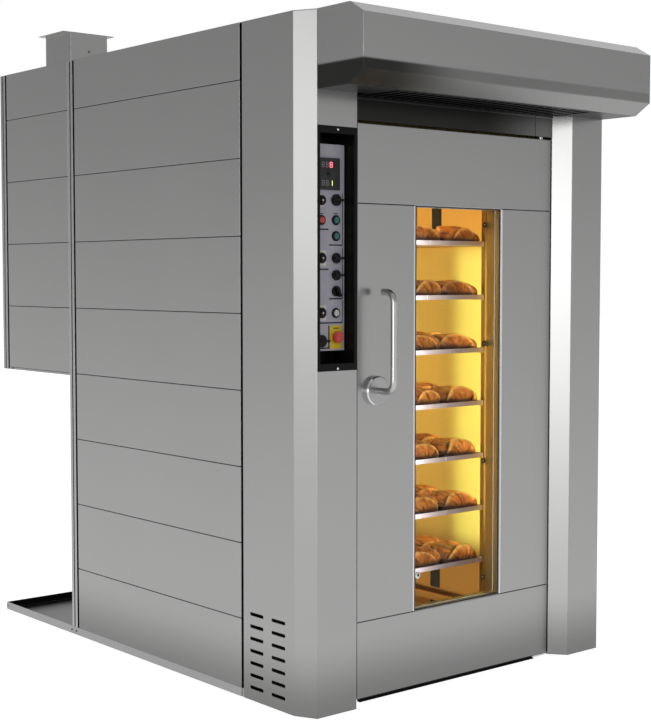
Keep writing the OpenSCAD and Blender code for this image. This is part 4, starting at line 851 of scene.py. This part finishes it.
make_piece("door_sweep",
           carried_along_x(wiper_and_shadow_profile, wiper_start, wiper_end, door_face, door_low[2]),
           "mark_black", "door", smooth=False)
print("wiper from", round(float(wiper_start), 3), "to", round(float(wiper_end), 3))

# %% [markdown]
# The handle turns in a round rose. Its rim is polished and stays as it is, while its face is
# brushed like the door: a thin turned disc with a hole for the handle's spindle.

# %% Face of the rose
spindle_x, _, spindle_z = np.mean(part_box("latch_spindle"), axis=0)
rose_middle = (spindle_x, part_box("door_trim")[0][1], spindle_z)
rose_face = MM * np.array([
    (14.0, 0.05), (14.0, 0.4), (14.3, 0.5), (14.8, 0.5), (47.6, 0.5), (48.2, 0.5),
    (48.6, 0.4), (49.0, 0.05)])
make_piece("handle_rose", closed_ring(rose_face, rose_middle, 72), "satin_steel", "door")

# %% [markdown]
# ## The control niche
#
# The niche needs its small marks: black rings round the push buttons, the lines that part the
# fields, the scales of the dials, their pointers, and the displays with plain figures. All of
# them are thin bars or turned rings laid on what carries them.

# %% Places in the niche
plate_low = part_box("control_panel")[0]
niche_low, niche_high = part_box("control_niche")
mark_thick, mark_round = 0.35 * MM, 0.1 * MM


def middle_of(node):
    """The middle of a part, seen from the front."""
    x, _, z = np.mean(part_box(node), axis=0)
    return x, z


def front_of(node):
    """The Y of a part's face towards the viewer."""
    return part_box(node)[0][1]


left_row = middle_of("stop_button")[0]
right_row = middle_of("start_button")[0]
plate_front = plate_low[1] + 4 * MM
print("rows of controls at", round(left_row, 4), round(right_row, 4))

# %% Rings of the push buttons
ring_profile = MM * np.array([
    (11.15, 4.0), (12.2, 5.6), (16.0, 5.6), (17.2, 4.4), (17.2, 0.1), (15.2, 0.1),
    (15.1, 4.05)])
ringed = [middle_of(name) for name in
          ("stop_button", "start_button", "steam_button", "reset_button")]
rings = [closed_ring(ring_profile, (x, plate_front, z)) for x, z in ringed]
make_piece("button_rings", stack(rings), "black_plastic", "oven")

# %% Lines between the fields
line_wide, side_line_wide = 4.4 * MM, 2.8 * MM
field_left = plate_low[0] + 5 * MM
field_right = right_row + 31 * MM
field_mid = (left_row + right_row) / 2 + 3 * MM
# Where the level lines start and end, and their heights over the floor.
level_lines = [
    (field_left, field_mid - 2 * MM, (1.671, 1.535)), (field_mid, field_right, (1.618, 1.434)),
    (field_left, field_right, (1.3515, 1.2655))]
# Where each upright line stands, its foot, its top and its width.
upright_lines = [
    (field_right, 1.618, 1.793, side_line_wide), (field_right, 1.434, 1.609, side_line_wide),
    (field_right, 1.3515, 1.427, side_line_wide),
    (field_mid - 1 * MM, 1.2655, 1.3425, line_wide)]


def line(x0, z0, x1, z1, wide=line_wide, front=plate_front):
    """A thin raised line, level or upright, between two points on the plate."""
    half_x, half_z = (0, wide / 2) if z0 == z1 else (wide / 2, 0)
    return flat_bar((x0 - half_x, front - mark_thick, z0 - half_z),
                    (x1 + half_x, front, z1 + half_z), mark_round)


marks = [line(start, z, end, z) for start, end, heights in level_lines for z in heights]
marks += [line(x, foot, x, top, wide) for x, foot, top, wide in upright_lines]
for x, z in ringed[:2]:
    marks.append(line(x - 9 * MM, z + 22 * MM, x + 9 * MM, z + 22 * MM, 2.6 * MM))
plate_x, _ = middle_of("emergency_plate")
mark_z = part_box("emergency_plate")[1][2] - 9 * MM
marks.append(line(plate_x - 12 * MM, mark_z, plate_x + 12 * MM, mark_z, 3.0 * MM,
                  front_of("emergency_plate") + 0.05 * MM))
make_piece("field_lines", stack(marks), "mark_black", "oven", smooth=False)

# %% [markdown]
# The scales stand on the raised squares behind the dials: an arc of ticks, every fifth one
# longer. A tick is a thin bar turned about the dial's axis. A pale card lies under each
# scale, a ring on the thermostat and an upright rectangle on the two time dials.

# %% Scales of the dials
# Each dial: the body it turns with, the sweep of its scale, its rim's radius and its depth.
dials = {"thermostat_dial": ("thermostat", 270, 11.6, 5.6),
         "steam_dial": ("steam_time", 300, 12.6, 6.6), "timer_dial": ("timer", 300, 12.6, 6.6)}
scale_front = plate_front - 1.5 * MM
tick_inner, tick_outer, tick_longer, tick_wide = 18.6 * MM, 21.2 * MM, 1.5 * MM, 0.9 * MM
tick_count, long_every = 21, 5


def ticks(centre, sweep):
    """Thin plates along an arc of that many degrees, the same on both sides of the top."""
    parts = []
    for number in range(tick_count):
        angle = math.radians(-sweep / 2 + sweep * number / (tick_count - 1))
        inner = tick_inner - (tick_longer if number % long_every == 0 else 0)
        along = np.array([math.sin(angle), math.cos(angle)])
        across = np.array([along[1], -along[0]]) * tick_wide / 2
        points, faces = flat_bar((-1, -1, -1), (1, 0, 1), 0.0)
        radial = np.where(points[:, 2] > 0.5, tick_outer, inner)
        radial = np.where(np.abs(points[:, 2]) < 0.5, (tick_outer + tick_inner) / 2, radial)
        flat = centre + radial[:, None] * along + points[:, :1] * across
        y = scale_front + mark_thick * points[:, 1]
        parts.append((np.column_stack([flat[:, 0], y, flat[:, 1]]), faces))
    return stack(parts)


arcs = [ticks(middle_of(name), sweep) for name, (_, sweep, _, _) in dials.items()]
make_piece("dial_ticks", stack(arcs), "mark_black", "oven", smooth=False)

card_half_wide, card_half_high = 22.4 * MM, 26.4 * MM
ring_card = np.array([(13.5, 0.1), (13.5, 0.5), (22.4, 0.5), (22.6, 0.1)]) * MM
cards = []
for name in ("steam_dial", "timer_dial"):
    x, z = middle_of(name)
    cards.append(flat_bar(
        (x - card_half_wide, scale_front - 0.2 * MM, z - card_half_high),
        (x + card_half_wide, plate_front - 0.1 * MM, z + card_half_high), 0.6 * MM))
x, z = middle_of("thermostat_dial")
cards.append(closed_ring(ring_card, (x, scale_front + 0.3 * MM, z), 48))
make_piece("scale_cards", stack(cards), "scale_white", "oven", smooth=False)

# %% [markdown]
# Each dial carries a pointer, a pale cap and a fluted rim that turn with it, so these ride on
# the dials' own bodies and not on the oven.

# %% Pointers, caps and rims of the dials
dial_cap = np.array([(0, 1.2), (2.2, 1.1), (3.3, 0.7), (3.6, 0.0), (0, 0.0)]) * MM
for name, (body, _, _, _) in dials.items():
    x, z = middle_of(name)
    front = front_of(name) + 0.2 * MM
    make_piece(f"{name}_cap", turned(dial_cap, (x, front, z), 24), "scale_white", body)
    pointer = flat_bar((x - 0.9 * MM, front - 0.5 * MM, z - 10.6 * MM),
                       (x + 0.9 * MM, front, z - 5.6 * MM))
    make_piece(f"{name}_pointer", pointer, "button_red", body, smooth=False)

flute_count, flute_points, flute_deep = 28, 6, 0.45 * MM


def fluted_rim(name, radius, depth):
    """A dial's gripped rim: a circle whose radius swings with the cosine of its flutes. Both
    measures are in millimetres."""
    x, z = middle_of(name)
    angle = np.linspace(0, 2 * np.pi, flute_count * flute_points, endpoint=False)
    swing = radius * MM + flute_deep * np.cos(flute_count * angle)
    rows = ((0.86, 0.0), (0.97, 0.3), (1.0, 1.2), (1.0, depth - 0.6), (0.985, depth),
            (0.80, depth))
    points = [np.column_stack([
        x + swing * share * np.cos(angle), np.full(angle.size, front_of(name) + back * MM),
        z + swing * share * np.sin(angle)]) for share, back in rows]
    return np.concatenate(points), grid_faces(len(rows), angle.size)


for name, (body, _, *rim) in dials.items():
    make_piece(f"{name}_rim", fluted_rim(name, *rim), "black_plastic", body)

# %% [markdown]
# ## The displays
#
# A figure is seven bars. The lit figures glow, the others only show as grey bars behind the
# tinted window, as on a real controller.

# %% Seven-bar figures
figure_high, figure_wide, bar_wide, bar_gap = 17 * MM, 9.5 * MM, 2.3 * MM, 0.3 * MM
coat("figure_grey", (0.30, 0.29, 0.30), 0.4, 600, 2)
lamp_glass("lit_red", (1.0, 0.10, 0.16), 3.2)
lamp_glass("lit_yellow", (0.85, 0.95, 0.12), 1.5)
controller_front = front_of("temperature_controller")
display_front = controller_front + 1.0 * MM
menu_x, menu_z = middle_of("menu_button")


def bar_places(x, z):
    """The seven bars of a figure whose middle is at x and z."""
    high, wide, b = figure_high / 2, figure_wide / 2, bar_wide / 2
    spots = {
        "a": (-wide + b, high - b, wide - b, high + b), "g": (-wide + b, -b, wide - b, b),
        "d": (-wide + b, -high - b, wide - b, -high + b),
        "f": (-wide - b, bar_gap, -wide + b, high), "b": (wide - b, bar_gap, wide + b, high),
        "e": (-wide - b, -high, -wide + b, -bar_gap), "c": (wide - b, -high, wide + b, -bar_gap)}
    return {key: flat_bar((x + x0, display_front - 0.4 * MM, z + z0),
                          (x + x1, display_front, z + z1), mark_round)
            for key, (x0, z0, x1, z1) in spots.items()}


grey_bars = []
for row, height, glow, lit_bars in ((1, 31, "lit_red", "abcdefg"), (2, -31, "lit_yellow", "bc")):
    first, second, third = (
        bar_places(menu_x + shift * MM, menu_z + height * MM) for shift in (-23, -5, 13))
    grey_bars += [*first.values(), *second.values()]
    lit = [shape for key, shape in third.items() if key in lit_bars]
    make_piece(f"lit_figure_{row}", stack(lit), glow, "oven", smooth=False)
make_piece("figures", stack(grey_bars), "figure_grey", "oven", smooth=False)


def oval_ring(x, z, front, half_x, half_z, thick, around=48, across=10):
    """A round bar bent into an oval: the bar's circle is carried round the ellipse."""
    a = np.linspace(0, 2 * np.pi, around, endpoint=False)[:, None]
    b = np.linspace(0, 2 * np.pi, across, endpoint=False)[None, :]
    reach = thick * np.cos(b)
    points = np.stack([
        x + (half_x + reach) * np.cos(a), front - thick * np.sin(b) + 0 * a,
        z + (half_z + reach) * np.sin(a)], axis=-1)
    return points.reshape(-1, 3), grid_faces(around, across, closed_rows=True)


make_piece("menu_ring", oval_ring(menu_x, menu_z, controller_front, 8.5 * MM, 13 * MM, 1.4 * MM),
           "rubber_black", "oven")

# %% [markdown]
# Two bright screws hold the frame of the niche. Their heads are turned profiles again.

# %% Bright screws of the niche
head_profile = MM * np.array([
    (0, 2.6), (2.2, 2.45), (3.9, 1.7), (4.8, 0.5), (4.9, 0.0), (0, 0.0)])
niche_x, _ = middle_of("control_niche")
head_y = front_of("case_screws") + 0.2 * MM
heads = [turned(head_profile, (niche_x, head_y, z), 28)
         for z in (niche_low[2] + 8.5 * MM, niche_high[2] - 10.5 * MM)]
make_piece("niche_screw_heads", stack(heads), "bright_steel", "oven")

# %% [markdown]
# ## Light inside the chamber
#
# Two upright lamps stand behind the front wall. Their tubes glow, but thin tubes alone would
# give a grainy picture, so a soft warm lamp stands beside each and lights all but the trays.
# The walls mirror the lamps many times over: lemon yellow near them, gold further back, amber
# over and under the trays. Tracing that would take long, so wide soft lamps wash the walls
# with those colours. The polished lips of the trays mirror a lamp too, and one that lights
# the trays alone stands in for that.

# %% Chamber lamps
def chamber_light(name, place, aim, size, colour, power):
    """A soft lamp at a place, aimed at a point. Neither the camera nor a mirror sees it."""
    data = bpy.data.lights.new(name, "AREA")
    data.shape = "RECTANGLE"
    data.size, data.size_y = size
    data.energy = power
    data.color = colour
    data.spread = math.radians(170)
    light = bpy.data.objects.new(name, data)
    light.location = place
    forward = np.array(aim, float) - np.array(place, float)
    heading = math.atan2(forward[1], forward[0]) - math.pi / 2
    pitch = math.atan2(forward[2], math.hypot(forward[0], forward[1]))
    light.rotation_euler = (math.pi / 2 + pitch, 0, heading)
    light.visible_camera = False
    light.visible_glossy = False
    bpy.context.scene.collection.objects.link(light)
    return light


warm_light, gold_light = (1.0, 0.66, 0.27), (1.0, 0.70, 0.36)
lemon_light, amber_light = (0.92, 1.0, 0.50), (1.0, 0.84, 0.46)
tube_low, tube_high = np.array(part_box("chamber_lamps"))
_, tube_y, tube_z = (tube_low + tube_high) / 2
tube_in, aim_x = 0.04, 0.4
tube_lights = [
    chamber_light(name, (x, tube_y, tube_z), (towards, tray_high[1], tube_z), (0.05, 1.2),
                  warm_light, power)
    for name, x, towards, power in (
        ("lamp_left", tube_low[0] + tube_in, aim_x, 17),
        ("lamp_right", tube_high[0] - tube_in, -aim_x, 6))]

# %% Washes of the walls
wall_x, rear_y = tray_high[0] + 0.16, tray_high[1] + 0.12
near_y, turn_y, far_y = tray_low[1] - 0.05, tray_low[1] + 0.40, tray_high[1] + 0.15
low_z, high_z = tray_low[2] - 0.02, tray_high[2] - 0.02
# Each wash: its name, the way it shines, its reach along the wall, its foot and top, its
# colour and its strength for an area.
washes = [
    ("wash_near", (1, 0), near_y, turn_y - 0.03, low_z, high_z, lemon_light, 1.2),
    ("wash_far", (1, 0), turn_y + 0.04, far_y, low_z, high_z, gold_light, 0.52),
    ("wash_top", (1, 0), near_y, far_y, high_z + 0.04, high_z + 0.34, amber_light, 1.05),
    ("wash_low", (1, 0), near_y, far_y, low_z - 0.26, low_z - 0.04, amber_light, 0.8),
    ("wash_left", (-1, 0), near_y, far_y, low_z, high_z, gold_light, 0.9),
    ("wash_rear", (0, 1), -wall_x + 0.1, wall_x - 0.1, low_z, high_z, gold_light, 0.6)]
for name, side, start, end, bottom, top, colour, strength in washes:
    middle, height = start / 2 + end / 2, bottom / 2 + top / 2
    x, y = (side[0] * wall_x, middle) if side[0] else (middle, rear_y)
    chamber_light(name, (x, y, height), (x + side[0], y + side[1], height),
                  (end - start, top - bottom), colour,
                  strength * math.pi * (end - start) * (top - bottom))
chamber_light("lamp_over", (0.1, near_y + 0.25, high_z + 0.24), (0.1, near_y + 0.25, 0),
              (0.7, 0.4), warm_light, 1.8)

# %% The lamp of the tray lips
lip_light = chamber_light("lip_light", (-0.03, tube_y, tube_z), (0.12, tray_low[1], tube_z),
                          (0.04, 1.5), (1.0, 0.94, 0.96), 4.6)
for name, state, lamps in (
        ("trays_only", "INCLUDE", [lip_light]), ("all_but_trays", "EXCLUDE", tube_lights)):
    group = bpy.data.collections.new(name)
    group.objects.link(nodes["baking_trays"])
    group.collection_objects[0].light_linking.link_state = state
    for lamp in lamps:
        lamp.light_linking.receiver_collection = group

# %% [markdown]
# ## The size
#
# The box of the finished model is measured once more at the end.

# %% The size, and the end
low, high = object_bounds()
